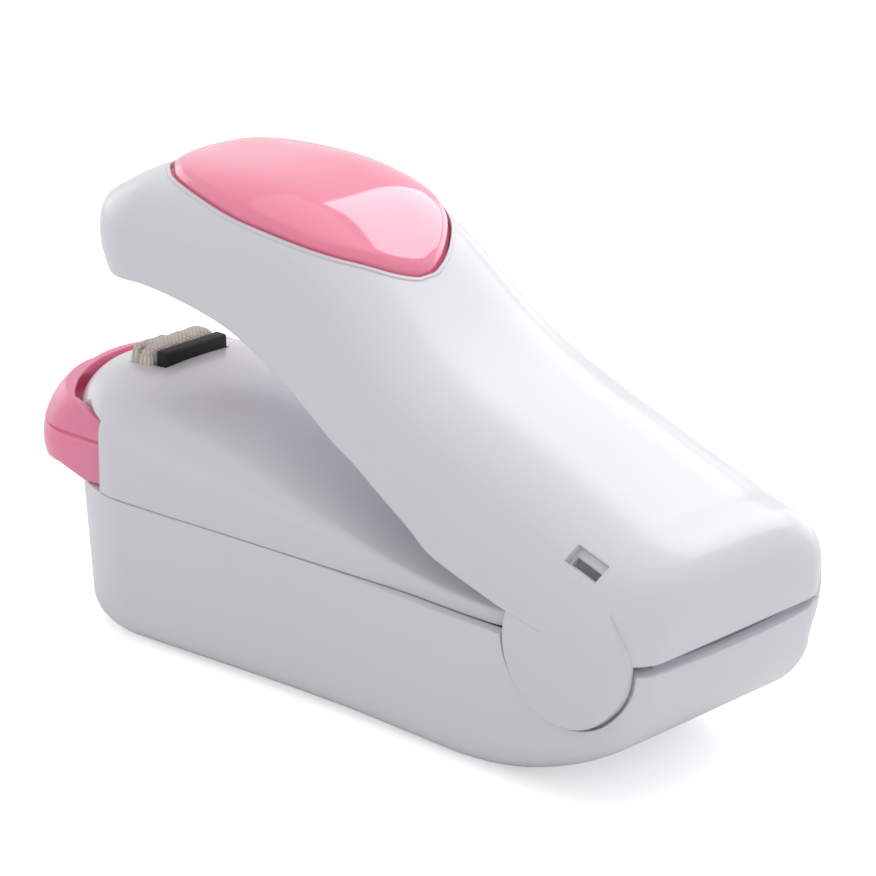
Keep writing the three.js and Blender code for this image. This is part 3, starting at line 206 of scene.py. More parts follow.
def bar(axis, radius, low, high, centre, sides=PLAIN_SIDES, edge=0.0, edge_steps=5):
    levels = [(low, radius), (high, radius)]
    if edge:
        turns = [math.pi / 2 * k / edge_steps for k in range(edge_steps + 1)]
        pulls = [(edge * (1 - math.sin(t)), radius - edge * (1 - math.cos(t))) for t in turns]
        levels = [(low + pull, r) for pull, r in reversed(pulls)]
        levels += [(high - pull, r) for pull, r in pulls]
    rings = []
    for level, r in levels:
        ring = []
        for i in range(sides):
            a = 2 * math.pi * i / sides
            u, w = r * math.cos(a), r * math.sin(a)
            p = {"x": (level, u, w), "y": (u, level, w), "z": (u, w, level)}[axis]
            ring.append((p[0] + centre[0], p[1] + centre[1], p[2] + centre[2]))
        rings.append(ring)
    return loft("bar", rings)


def prism(outline, low, high, axis="z"):
    place = {"z": lambda p, h: (p[0], p[1], h), "y": lambda p, h: (p[0], h, p[1])}[axis]
    n = len(outline)
    verts = [place(p, low) for p in outline] + [place(p, high) for p in outline]
    faces = [tuple(range(n)), tuple(range(2 * n - 1, n - 1, -1))]
    faces += [(i, (i + 1) % n, n + (i + 1) % n, n + i) for i in range(n)]
    return make("prism", verts, faces)


def both_sides(radius, low, high, centre, sides=PLAIN_SIDES):
    return [bar("y", radius, low, high, centre, sides), bar("y", radius, -high, -low, centre, sides)]


def carve(ob, *steps):
    used = []
    for op, tool in steps:
        for t in tool if isinstance(tool, (list, tuple)) else [tool]:
            m = ob.modifiers.new("cut", "BOOLEAN")
            m.operation, m.object, m.solver = op, t, "MANIFOLD"
            used.append(t)
    dg = bpy.context.evaluated_depsgraph_get()
    mesh = bpy.data.meshes.new_from_object(ob.evaluated_get(dg), depsgraph=dg)
    ob.modifiers.clear()
    ob.data = mesh
    for t in set(used):
        bpy.data.objects.remove(t)
    return ob


def smooth(mesh, angle):
    mesh.polygons.foreach_set("use_smooth", [True] * len(mesh.polygons))
    mesh.set_sharp_from_angle(angle=math.radians(angle))


# Base
def plan_half(inset, arc=30, mid=40, corner_steps=10, flat_steps=5):
    pts = []
    r = FRONT_R - inset
    for i in range(arc):
        a = math.pi / 2 * i / arc
        pts.append((FRONT_CX - r * math.cos(a), r * math.sin(a)))
    corner = max(REAR_CORNER - inset, GAP)
    cx = REAR_X - inset - corner
    for i in range(mid + 1):
        x = FRONT_CX + (cx - FRONT_CX) * i / mid
        pts.append((x, read(BASE_WIDTH_SHARES, x / HALF_LENGTH) * HALF_WIDTH - inset))
    edge = pts[-1][1]
    for i in range(1, corner_steps + 1):
        a = math.pi / 2 * i / corner_steps
        pts.append((cx + corner * math.sin(a), edge - corner + corner * math.cos(a)))
    flat = edge - corner
    for i in range(1, flat_steps + 1):
        y = flat * (1 - i / flat_steps)
        pts.append((REAR_X - inset + REAR_BOW * (1 - (y / flat) ** 2), y))
    return pts


def plan_ring(half, height):
    ring = [(x, y, height(x)) for x, y in half]
    ring += [(half[i][0], -half[i][1], height(half[i][0])) for i in range(len(half) - 2, 0, -1)]
    return ring


def heel(x):
    past = max(x - HEEL_X, 0)
    return HEEL_R - math.sqrt(HEEL_R ** 2 - past ** 2)


def rear_dip(x):
    return REAR_DROP_EDGE * min(max(x - REAR_X + REAR_RUN, 0) / REAR_RUN, 1) ** 2


def lower_body(inset, top, soft=0.0, steps=8, soft_steps=3):
    rings = []
    fillet = max(FILLET - inset, GAP)
    for i in range(steps + 1):
        a = math.pi / 2 * i / steps
        pull = inset + DRAFT + fillet * (1 - math.sin(a))
        rise = inset + fillet * (1 - math.cos(a))
        rings.append(plan_ring(plan_half(pull), lambda x: heel(x) + rise))
    if soft:
        for i in range(soft_steps + 1):
            a = math.pi / 2 * i / soft_steps
            drop = soft * (1 - math.sin(a))
            plan = plan_half(inset + soft * (1 - math.cos(a)))
            rings.append(plan_ring(plan, lambda x: top - rear_dip(x) - drop))
    else:
        rings.append(plan_ring(plan_half(inset), lambda x: top - rear_dip(x)))
    return loft("lower", rings, "mirrored")


def stations(front, rear, steps):
    return [front + (rear - front) * (1 - math.cos(math.pi * i / steps)) / 2 for i in range(steps + 1)]


def round_in(distance, radius, power):
    t = min(max(1 - distance / radius, 0), 1)
    return max((1 - t ** power) ** (1 / power), LEAST)


def upper_shape(x, inset):
    width = read(UPPER_WIDTH_SHARES, x / HALF_LENGTH) * HALF_WIDTH - inset
    arc = round_in(x - (FRONT_CX - FRONT_R + inset), FRONT_R - inset, 2) if x < FRONT_CX else 1
    rear = round_in(UPPER_REAR - inset - x, UPPER_ROUND, 2)
    rise = DOME - SEAM
    wall = SEAM + read(WALL_TOP_SHARES, x / HALF_LENGTH) * rise - inset
    crest = SEAM + read(DOME_RISE_SHARES, x / HALF_LENGTH) * rise - inset
    front_wall = (FRONT_R - inset) * arc if x < FRONT_CX else width
    half = min(front_wall, width) * (1 - UPPER_PINCH * (1 - rear))
    return half, wall, wall + (crest - wall) * math.sqrt(arc) * (1 - UPPER_DROP * (1 - rear))


def super_point(i, steps, power):
    a = math.pi * i / steps
    c, s = math.cos(a), max(math.sin(a), 0)
    return math.copysign(abs(c) ** (2 / power), c), s ** (2 / power)


def upper_body(inset, floor, steps=110, around=64, soft=0.0):
    rings = []
    for x in stations(FRONT_CX - FRONT_R + inset, UPPER_REAR - inset, steps):
        half, wall, crest = upper_shape(x, inset)
        foot = [(x, half, floor)]
        if soft:
            s = min(soft, half / 2)
            foot = [(x, half - s * (1 - math.sin(t)), floor + soft * (1 - math.cos(t)))
                    for t in (0, math.pi / 6, math.pi / 3, math.pi / 2)]
        ring = list(foot)
        for i in range(around + 1):
            across, up = super_point(i, around, DOME_ROUND)
            ring.append((x, half * across, wall + (crest - wall) * up))
        ring += [(p[0], -p[1], p[2]) for p in reversed(foot)]
        rings.append(ring)
    return loft("upper", rings)


def screw_bars(radius, low, high, sides):
    return [bar("z", radius, low, high(x), (x, y, 0), sides) for x, y in SCREWS]


def pivot_bore(half):
    return bar("y", PIN_R + PIN_CLEAR, -half, half, PIVOT, SMALL_SIDES)


def magnet_bar(low, clear, sides):
    return bar("z", MAGNET_R + GAP + clear, low, MAGNET_H + GAP + clear, (MAGNET_X, 0, 0), sides)


def lower_shell():
    front, rear, side = BAY_FRONT - BAY_WALL, BAY_REAR + BAY_WALL, BAY_HALF + BAY_WALL
    end = DOOR_MARGIN + GAP
    door_half = BAY_HALF + DOOR_MARGIN + GAP
    fittings = carve(box(front, rear, -side, side, SKIN, BAY_ROOF + BAY_WALL),
                     ("UNION", screw_bars(BOSS_R, 2 * SKIN, lambda x: SEAM - GAP, BOSS_SIDES)),
                     ("UNION", magnet_bar(2 * SKIN, BAY_WALL, SMALL_SIDES)),
                     ("UNION", both_sides(LOBE_R + WALL, LOBE_IN - 2 * WALL, HALF_WIDTH, PIVOT)),
                     ("INTERSECT", lower_body(0, SEAM)))
    return carve(lower_body(0, SEAM, SEAM_SOFT),
                 ("DIFFERENCE", lower_body(WALL, SEAM + OVER)),
                 ("UNION", fittings),
                 ("UNION", box(CURB_X - CURB_T, CURB_X, -CURB_HALF, CURB_HALF, CURB_LOW, CURB_HIGH)),
                 ("DIFFERENCE", box(BAY_FRONT, BAY_REAR, -BAY_HALF, BAY_HALF, -OVER, BAY_ROOF)),
                 ("DIFFERENCE", box(BAY_FRONT - end, BAY_REAR + end, -door_half, door_half,
                                    -OVER, DOOR_T + GAP)),
                 ("DIFFERENCE", both_sides(LOBE_R + SLIDE, LOBE_IN - GAP, HALF_WIDTH + OVER, PIVOT,
                                           LOBE_SIDES)),
                 ("DIFFERENCE", pivot_bore(HALF_WIDTH)),
                 ("DIFFERENCE", screw_bars(HEAD_R + GAP, -OVER, lambda x: heel(x) + HEAD_H, SMALL_SIDES)),
                 ("DIFFERENCE", screw_bars(SHANK_R + GAP, 0, lambda x: SEAM + OVER, SHANK_SIDES)),
                 ("DIFFERENCE", magnet_bar(-OVER, 0, MAGNET_SIDES)))


def cheek_recess():
    rear, front = BAIL_END + BAIL_REAR_GAP, BAIL_FRONT - OVER
    return [(front, SEAM - OVER), (rear, SEAM - OVER), (rear, BAIL_CHEEK_HIGH + BAIL_TOP_GAP),
            (BAIL_POCKET_END, BAIL_RIM_LOW + BAIL_TOP_GAP),
            (BAIL_POCKET_END - BAIL_POCKET_RUN, BAIL_HIGH + BAIL_TOP_GAP), (front, BAIL_HIGH + BAIL_TOP_GAP)]


def seat(x, width, length, depth, top):
    half, reach = width / 2 + GAP / 2, length / 2 + GAP
    return box(x - half, x + half, -reach, reach, top - depth, ARM_TOP)


def upper_shell():
    seat_half = HEATER_L / 2 + 2 * WALL
    seat_block = box(HEATER_X - HEATER_W, RUBBER_X + RUBBER_W + WALL, -seat_half, seat_half,
                     HEATER_TOP - HEATER_DEPTH - WALL, DOME + OVER)
    cavity = carve(upper_body(WALL, SEAM - OVER, steps=60, around=32),
                   ("DIFFERENCE", seat_block),
                   ("DIFFERENCE", screw_bars(BOSS_R, 0, lambda x: DOME, BOSS_SIDES)),
                   ("DIFFERENCE", both_sides(PIN_R + 2 * WALL, LOBE_IN - 3 * WALL, HALF_WIDTH, PIVOT,
                                             SMALL_SIDES)))
    crown = upper_shape(SPRING_X, 0)[2]
    post = bar("z", POST_R, crown - WALL / 2, crown + POST_RISE, (SPRING_X, 0, 0), SMALL_SIDES, POST_EDGE)
    side, out = BAIL_IN - GAP, HALF_WIDTH + OVER
    return carve(upper_body(0, SEAM + GAP / 3, soft=SEAM_SOFT),
                 ("DIFFERENCE", cavity),
                 ("UNION", post),
                 ("DIFFERENCE", pivot_bore(HALF_WIDTH)),
                 ("DIFFERENCE", seat(HEATER_X, HEATER_W, HEATER_L, HEATER_DEPTH, HEATER_TOP)),
                 ("DIFFERENCE", seat(RUBBER_X, RUBBER_W, RUBBER_L, RUBBER_DEPTH, RUBBER_TOP)),
                 ("DIFFERENCE", bar("z", SWITCH_R + 3 * GAP, SEAM, ARM_TOP, (SWITCH_X, 0, 0), SWITCH_SIDES)),
                 ("DIFFERENCE", prism(cheek_recess(), side, out, "y")),
                 ("DIFFERENCE", prism(cheek_recess(), -out, -side, "y")),
                 ("DIFFERENCE", both_sides(BAIL_PIN_R + GAP, BAIL_IN - BAIL_PIN_L - 2 * GAP, HALF_WIDTH,
                                           BAIL_PIN, SMALL_SIDES)))


# Arm, drawn closed
def arm_shape(x, inset):
    rise = ARM_TOP - PIVOT_Z
    nose = round_in(x - (NOSE_TIP + inset), NOSE_R - inset, 2) if x < NOSE_TIP + NOSE_R else 1
    brow = NOSE_Z - NOSE_BROW - inset
    tail = round_in(ARM_REAR - inset - x, ARM_CORNER, TAIL_ROUND)
    width = read(ARM_WIDTH_SHARES, x / HALF_LENGTH) * HALF_WIDTH - inset
    crest = PIVOT_Z + read(CREST_SHARES, x / HALF_LENGTH) * rise - inset
    skirt = PIVOT_Z + read(SKIRT_SHARES, x / HALF_LENGTH) * rise
    loss = (1 - tail) * ARM_CORNER
    return width * nose - loss, brow + (crest - brow) * nose - loss * TAIL_DROP, skirt


def arm_height(x, y):
    half, crest, skirt = arm_shape(x, 0)
    across = min(abs(y) / half, 1)
    return skirt + (crest - skirt) * (1 - across ** ARM_ROUND) ** (1 / ARM_ROUND)


def lean(x, z):
    foot = PIVOT_Z + SKIRT_SHARES[0][1] * (ARM_TOP - PIVOT_Z)
    fall = min(max((NOSE_Z - z) / (NOSE_Z - foot), 0), 1)
    near = min(max((NOSE_TIP + NOSE_RUN - x) / NOSE_RUN, 0), 1)
    return NOSE_LEAN * fall * near


def tuck_at(x, up):
    tuck = TUCK + (1 - TUCK) * min(up * TUCK_RISE, 1)
    return tuck + (1 - tuck) * min(max((x / HALF_LENGTH / TUCK_END + 1) / 2, 0), 1)


def arm_body(inset, drop, steps=170, around=80, shift=0.0):
    rings = []
    for x in stations(NOSE_TIP + inset, ARM_REAR - inset, steps):
        half, crest, skirt = arm_shape(x, inset)
        ring = []
        for i in range(around + 1):
            across, up = super_point(i, around, ARM_ROUND)
            z = skirt - drop + (crest - skirt + drop) * up
            ring.append((x + lean(x, z), half * across * tuck_at(x, up), z + shift))
        rings.append(ring)
    return loft("arm", rings)


def pad_outline(grow, steps=64):
    length = PAD_LEN + 2 * grow
    half = []
    for i in range(steps + 1):
        share = (1 - math.cos(math.pi * i / steps)) / 2
        half.append((PAD_FRONT - grow + length * share, read(PAD_WIDTH_SHARES, share) * PAD_HALF + grow))
    return half


def pad_prism(grow, low, high):
    half = pad_outline(grow)
    return prism(half + [(x, -y) for x, y in reversed(half)], low, high)


def pad_ring(shrink, lift, share=1.0):
    half = pad_outline(-shrink)
    pts = half + [(x, -y) for x, y in reversed(half)]
    return [(x, y * share, arm_height(x, y * share) + lift) for x, y in pts]


def thumb_pad(rows=14, turns=8):
    shares = [k / rows for k in range(1, rows)]
    low = PAD_LIFT - PAD_THICK
    rings = [pad_ring(0, low, s) for s in shares[::3]]
    rings += [pad_ring(-FLANGE, low), pad_ring(-FLANGE, FLANGE_TOP), pad_ring(0, FLANGE_TOP + FLANGE_EASE)]
    for i in range(turns + 1):
        a = math.pi / 2 * i / turns
        rings.append(pad_ring(PAD_EDGE * (1 - math.cos(a)), PAD_LIFT - PAD_EDGE * (1 - math.sin(a))))
    rings += [pad_ring(PAD_EDGE, PAD_LIFT, s) for s in reversed(shares)]
    return loft("pad", rings, "paired")


def below_crown(depth):
    return arm_body(0, 0, steps=100, around=48, shift=-depth)


def hinge_lobes():
    top = PIVOT_Z + CHEEK_RISE
    cheek = [(PIVOT_X, PIVOT_Z), (PIVOT_X + LOBE_R, PIVOT_Z), (PIVOT_X + CHEEK_REACH, top), (PIVOT_X, top)]
    return carve(bar("y", LOBE_R, -HALF_WIDTH, HALF_WIDTH, PIVOT, LOBE_SIDES, LOBE_EDGE),
                 ("UNION", prism(cheek, -HALF_WIDTH, HALF_WIDTH, "y")),
                 ("INTERSECT", side_column()),
                 ("DIFFERENCE", box(0, REACH, -LOBE_IN, LOBE_IN, 0, REACH)))


def arm_shell():
    high = 2 * ARM_TOP
    well = carve(pad_prism(WELL_WALL + SLIDE, WELL_LOW, high),
                 ("INTERSECT", below_crown(0)),
                 ("DIFFERENCE", below_crown(WELL_DEPTH + WELL_FLOOR)))
    room = carve(pad_prism(PAD_GAP, WELL_LOW, high),
                 ("DIFFERENCE", below_crown(WELL_DEPTH)))
    lip = carve(pad_prism(PAD_GAP + LIP_WIDTH, WELL_LOW, high),
                ("INTERSECT", arm_body(0, 0, shift=LIP_RISE)),
                ("DIFFERENCE", below_crown(WELL_DEPTH + WELL_FLOOR)))
    return carve(arm_body(0, 0),
                 ("DIFFERENCE", arm_body(WALL, OVER, steps=90, around=48)),
                 ("UNION", well),
                 ("UNION", lip),
                 ("DIFFERENCE", room),
                 ("UNION", hinge_lobes()),
                 ("DIFFERENCE", pivot_bore(HALF_WIDTH - PIN_COVER)),
                 ("DIFFERENCE", slot_cut(SLOT_L, 2 * SLOT_D, SLOT_H, 0)),
                 ("DIFFERENCE", slot_cut(HOLE_L, 4 * WALL, HOLE_H, -HOLE_DROP)))


def side_column(steps=40, around=64):
    rings = []
    low = PIVOT_Z - LOBE_R - GAP
    for x in stations(PIVOT_X - LOBE_R - GAP, PIVOT_X + LOBE_R + GAP, steps):
        half, crest, skirt = arm_shape(x, 0)
        crest -= CHEEK_FALL * max(x - PIVOT_X, 0) / LOBE_R
        side = HALF_WIDTH - LOBE_RECESS - read(ARM_WIDTH_SHARES, x / HALF_LENGTH) * HALF_WIDTH + half
        ring = [(x, side, low)]
        for i in range(around + 1):
            across, up = super_point(i, around, ARM_ROUND)
            ring.append((x, side * across, skirt + (crest - skirt) * up))
        rings.append(ring + [(x, -side, low)])
    return loft("column", rings)


def slot_cut(length, depth, height, drop):
    slot = box(-length / 2, length / 2, -depth / 2, depth / 2, drop - height / 2, drop + height / 2)
    slot.data.transform(Matrix.Translation((SLOT_X * MM, -SLOT_Y * MM, (PIVOT_Z + SLOT_Z) * MM))
                        @ Matrix.Rotation(SLOT_TILT, 4, "Y") @ Matrix.Rotation(-SLOT_LEAN, 4, "X"))
    return slot


def opened(ob):
    about = Matrix.Translation((PIVOT_X * MM, 0, PIVOT_Z * MM))
    ob.data.transform(about @ Matrix.Rotation(OPEN, 4, "Y") @ about.inverted())
    return ob


# Lock bail
def bail_ring(rise, z, wall, steps=18, flat_steps=4):
    inset = rise + wall
    corner = BAIL_CORNER + rise - wall
    front = BAIL_FRONT + inset
    flat = BAIL_HALF - inset - corner
    half = [(front + REAR_BOW * (k / flat_steps) ** 2, flat * k / flat_steps) for k in range(flat_steps + 1)]
    for i in range(1, steps + 1):
        a = math.pi / 2 * i / steps
        half.append((front + REAR_BOW + corner * (1 - math.cos(a)), flat + corner * math.sin(a)))
    half.append((BAIL_END, BAIL_HALF - inset))
    return [(x, y, z) for x, y in half] + [(x, -y, z) for x, y in reversed(half[1:])]


def lock_bail():
    front, foot_end = BAIL_FRONT - OVER, BAIL_STEP_X + FOOT_RUN
    bore = carve(bar("z", FRONT_R + BAIL_GAP, 0, ARM_TOP, (FRONT_CX, 0, 0), BORE_SIDES),
                 ("INTERSECT", box(front, 0, -BAIL_IN, BAIL_IN, -OVER, ARM_TOP + OVER)))
    pocket = carve(loft("pocket", [bail_ring(rise, z, BAIL_WALL) for rise, z in BAIL_SKIN]),
                   ("INTERSECT", box(-HALF_LENGTH, BAIL_POCKET_END, -HALF_WIDTH, HALF_WIDTH,
                                     BAIL_POCKET_FLOOR, ARM_TOP)))
    above = [(front, BAIL_HIGH), (BAIL_FRONT + BAIL_WALL, BAIL_HIGH), (BAIL_POCKET_END, BAIL_RIM_LOW),
             (BAIL_END, BAIL_CHEEK_HIGH), (BAIL_END + OVER, BAIL_CHEEK_HIGH), (BAIL_END + OVER, ARM_TOP),
             (front, ARM_TOP)]
    below = [(front, 0), (front, BAIL_LOW), (BAIL_STEP_X - FOOT_LEAD, BAIL_LOW),
             (foot_end, BAIL_CHEEK_LOW - PIN_CLEAR), (foot_end, 0)]
    return carve(loft("bail", [bail_ring(rise, z, 0) for rise, z in BAIL_SKIN]),
                 ("DIFFERENCE", bore),
                 ("DIFFERENCE", box(BAIL_POCKET_END, 0, -BAIL_IN, BAIL_IN, 0, ARM_TOP)),
                 ("DIFFERENCE", prism(below, -HALF_WIDTH, HALF_WIDTH, "y")),
                 ("DIFFERENCE", pocket),
                 ("DIFFERENCE", prism(above, -HALF_WIDTH, HALF_WIDTH, "y")),
                 ("UNION", both_sides(BAIL_PIN_R, BAIL_IN - BAIL_PIN_L, BAIL_IN + BAIL_CHEEK / 2,
                                      BAIL_PIN, SMALL_SIDES)))


# Heater cover and rubber strip
def rubber_bar():
    half = RUBBER_W / 2
    ob = box(RUBBER_X - half, RUBBER_X + half, -RUBBER_L / 2, RUBBER_L / 2,
             RUBBER_TOP - RUBBER_DEPTH + GAP, RUBBER_TOP)
    bm = bmesh.new()
    bm.from_mesh(ob.data)
    bmesh.ops.bevel(bm, geom=list(bm.edges), offset=RUBBER_EDGE * MM, segments=4, profile=0.5,
                    affect="EDGES")
    bm.to_mesh(ob.data)
    bm.free()
    return ob


def pillow(x0, x1, y0, y1, low, high, turn, steps=40, around=24):
    rings = []
    middle, reach = (x0 + x1) / 2, (x1 - x0) / 2
    for y in stations(y0, y1, steps):
        t = round_in(min(y - y0, y1 - y), turn, 2)
        half = reach * (PILLOW_WIDTH_LEFT + (1 - PILLOW_WIDTH_LEFT) * t)
        rise = (high - low) * (PILLOW_HEIGHT_LEFT + (1 - PILLOW_HEIGHT_LEFT) * t)
        top = low + rise + RIPPLE * math.sin(RIPPLE_RATE * y + middle)
        ring = []
        for i in range(around + 1):
            across, up = super_point(i, around, PILLOW_ROUND)
            ring.append((middle + half * across, y, low + (top - low) * up))
        rings.append(ring)
    return loft("pillow", rings)


def heater_cover():
    low, near = HEATER_TOP - COVER_DEPTH, -HEATER_L / 2
    left = HEATER_X - HEATER_W / 2 - COVER_SIDE
    right = HEATER_X + HEATER_W / 2 + COVER_SIDE
    split = left + FOLD_SPLIT
    far_fold = pillow(left + FAR_FOLD_SIDE, split, near - FAR_FOLD_END, 0, low,
                      HEATER_TOP - FAR_FOLD_DROP, FAR_FOLD_TURN)
    near_fold = pillow(split + FOLD_GAP, right, near - NEAR_FOLD_END, 0, low,
                       HEATER_TOP - NEAR_FOLD_DROP, NEAR_FOLD_TURN)
    return carve(pillow(left, right, near + COVER_BACK, -near + COVER_END, low, HEATER_TOP, COVER_TURN),
                 ("UNION", far_fold),
                 ("UNION", near_fold))


# Materials: depths and the scatter radius in metres, each noise as its scale and its detail
SCATTER, GRAIN_DEPTH, LEAST_ROUGH, BEVEL_SAMPLES = (0.004, 0.0018, 0.0018), 0.0002, 0.02, 4
WIDE_NOISE, FINE_NOISE = (60, 3), (900, 2)
WEAVE_TURNS = (math.radians(40), math.radians(-50))
WEAVE_PITCH, WEAVE_SCALE, WEAVE_WOBBLE, WEAVE_BUMP, WEAVE_DEPTH = 0.55, 317.3016, 0.6, 0.9, 0.00015
WEAVE_ROUGH, WEAVE_SHEEN = 0.85, 0.3


def linear(hexa):
    out = []
    for k in (0, 2, 4):
        c = int(hexa[k:k + 2], 16) / 255
        out.append(c / 12.92 if c <= 0.04045 else ((c + 0.055) / 1.055) ** 2.4)
    return out + [1]


def noise(nt, coord, size):
    node = nt.nodes.new("ShaderNodeTexNoise")
    node.inputs["Scale"].default_value, node.inputs["Detail"].default_value = size
    nt.links.new(coord.outputs["Object"], node.inputs["Vector"])
    return node


def material(name, colour, rough, metal=0.0, specular=0.5, coat=0.0, coat_rough=0.06, coat_ior=1.5,
             spread=0.03, rough_spread=0.04, bump=0.02, round_edge=0.3, sub=0.0, depth=0.5):
    m = bpy.data.materials.new(name)
    m.use_nodes = True
    nt = m.node_tree
    bsdf = nt.nodes["Principled BSDF"]
    bsdf.inputs["Metallic"].default_value = metal
    bsdf.inputs["Specular IOR Level"].default_value = specular
    bsdf.inputs["Coat Weight"].default_value = coat
    bsdf.inputs["Coat Roughness"].default_value = coat_rough
    bsdf.inputs["Coat IOR"].default_value = coat_ior
    if sub:
        bsdf.inputs["Subsurface Weight"].default_value = sub
        bsdf.inputs["Subsurface Radius"].default_value = SCATTER
        bsdf.inputs["Subsurface Scale"].default_value = depth
    coord = nt.nodes.new("ShaderNodeTexCoord")
    wide = noise(nt, coord, WIDE_NOISE)
    fine = noise(nt, coord, FINE_NOISE)
    mix = nt.nodes.new("ShaderNodeMix")
    mix.data_type = "RGBA"
    base = linear(colour)
    mix.inputs[6].default_value = [c * (1 - spread) for c in base[:3]] + [1]
    mix.inputs[7].default_value = [min(c * (1 + spread), 1) for c in base[:3]] + [1]
    nt.links.new(wide.outputs["Fac"], mix.inputs[0])
    nt.links.new(mix.outputs[2], bsdf.inputs["Base Color"])
    span = nt.nodes.new("ShaderNodeMapRange")
    span.inputs["To Min"].default_value = max(rough - rough_spread, LEAST_ROUGH)
    span.inputs["To Max"].default_value = rough + rough_spread
    nt.links.new(wide.outputs["Fac"], span.inputs["Value"])
    nt.links.new(span.outputs["Result"], bsdf.inputs["Roughness"])
    dent = nt.nodes.new("ShaderNodeBump")
    dent.inputs["Strength"].default_value = bump
    dent.inputs["Distance"].default_value = GRAIN_DEPTH
    nt.links.new(fine.outputs["Fac"], dent.inputs["Height"])
    if round_edge:
        bevel = nt.nodes.new("ShaderNodeBevel")
        bevel.samples = BEVEL_SAMPLES
        bevel.inputs["Radius"].default_value = round_edge * MM
        nt.links.new(bevel.outputs["Normal"], dent.inputs["Normal"])
    nt.links.new(dent.outputs["Normal"], bsdf.inputs["Normal"])
    return m


def woven(name, light, dark):
    m = material(name, light, WEAVE_ROUGH, spread=0.06, bump=0.1, round_edge=0)
    nt = m.node_tree
    bsdf = nt.nodes["Principled BSDF"]
    bsdf.inputs["Sheen Weight"].default_value = WEAVE_SHEEN
    coord = nt.nodes.new("ShaderNodeTexCoord")
    waves = []
    for turn in WEAVE_TURNS:
        spin = nt.nodes.new("ShaderNodeMapping")
        spin.inputs["Rotation"].default_value = (0, 0, turn)
        wave = nt.nodes.new("ShaderNodeTexWave")
        wave.inputs["Scale"].default_value = WEAVE_SCALE / WEAVE_PITCH
        wave.inputs["Distortion"].default_value = WEAVE_WOBBLE
        wave.inputs["Detail"].default_value = 1
        nt.links.new(coord.outputs["Object"], spin.inputs["Vector"])
        nt.links.new(spin.outputs["Vector"], wave.inputs["Vector"])
        waves.append(wave)
    times = nt.nodes.new("ShaderNodeMath")
    times.operation = "MULTIPLY"
    nt.links.new(waves[0].outputs["Fac"], times.inputs[0])
    nt.links.new(waves[1].outputs["Fac"], times.inputs[1])
    mix = nt.nodes.new("ShaderNodeMix")
    mix.data_type = "RGBA"
    mix.inputs[6].default_value = linear(dark)
    mix.inputs[7].default_value = linear(light)
    nt.links.new(times.outputs[0], mix.inputs[0])
    nt.links.new(mix.outputs[2], bsdf.inputs["Base Color"])
    dent = nt.nodes.new("ShaderNodeBump")
    dent.inputs["Strength"].default_value = WEAVE_BUMP
    dent.inputs["Distance"].default_value = WEAVE_DEPTH
    nt.links.new(times.outputs[0], dent.inputs["Height"])
    nt.links.new(dent.outputs["Normal"], bsdf.inputs["Normal"])
    return m


WHITE = material("white_abs", "e0dfe6", 0.3, coat=0.25, coat_rough=0.11, spread=0.012, bump=0.012,
                 round_edge=0.35)
INNER = material("white_inner", "ebebf0", 0.42, spread=0.02, bump=0.03)
PINK = material("pink_gloss", "ff80a2", 0.4, specular=0.2, coat=1.0, coat_ior=1.8, spread=0.02, bump=0.01,
                round_edge=0, sub=0.15)
LOCK = material("lock_pink", "fb8fae", 0.33, coat=0.15, bump=0.03, round_edge=0.35, sub=0.6, depth=0.8)
BLACK = material("rubber_black", "0f0e0e", 0.7, spread=0.15, bump=0.15, round_edge=0.2)
CLOTH = woven("cloth_beige", "fbf4ec", "ccc2b6")
STEEL = material("steel", "c9cbd0", 0.28, metal=1.0, spread=0.06, rough_spread=0.08, bump=0.05,
                 round_edge=0.1)
FOIL = material("foil", "9c9c9a", 0.35, metal=1.0, spread=0.08, bump=0.1, round_edge=0)
CERAMIC = material("ceramic", "d8ccb7", 0.7, spread=0.05, bump=0.2, round_edge=0.2)
SILICONE = material("silicone_red", "b4513f", 0.6, spread=0.05, bump=0.1, round_edge=0.2)
CELL = material("cell_wrap", "3f6f99", 0.3, metal=0.2, coat=0.4, spread=0.04)
SWITCH = material("switch_black", "222225", 0.5, spread=0.1, bump=0.1, round_edge=0.2)


# Pieces that take the place of solids. Edges sharper than so many degrees stay sharp
SHARP, PAD_SHARP, SMALL_SHARP, ROUND_SHARP = 32, 50, 60, 50


def put(ob, name, mat, body, node, angle=SHARP):
    ob.name = name
    ob.data.name = name
    smooth(ob.data, angle)
    ob.data.materials.clear()
    ob.data.materials.append(mat)
    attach(ob, body)
    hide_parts(node)


put(lower_shell(), "lower_housing", WHITE, "base", "base_lower_shell")
put(upper_shell(), "upper_housing", WHITE, "base", "base_upper_shell")
put(opened(arm_shell()), "arm_housing", WHITE, "arm", "arm_shell")
put(opened(thumb_pad()), "pad_cap", PINK, "thumb_pad", "thumb_pad", PAD_SHARP)
put(lock_bail(), "bail", LOCK, "lock_bail", "lock_bail")
put(heater_cover(), "heater_cover", CLOTH, "base", "heater_cloth", SMALL_SHARP)
put(rubber_bar(), "rubber_bar", BLACK, "base", "rubber_strip", SMALL_SHARP)

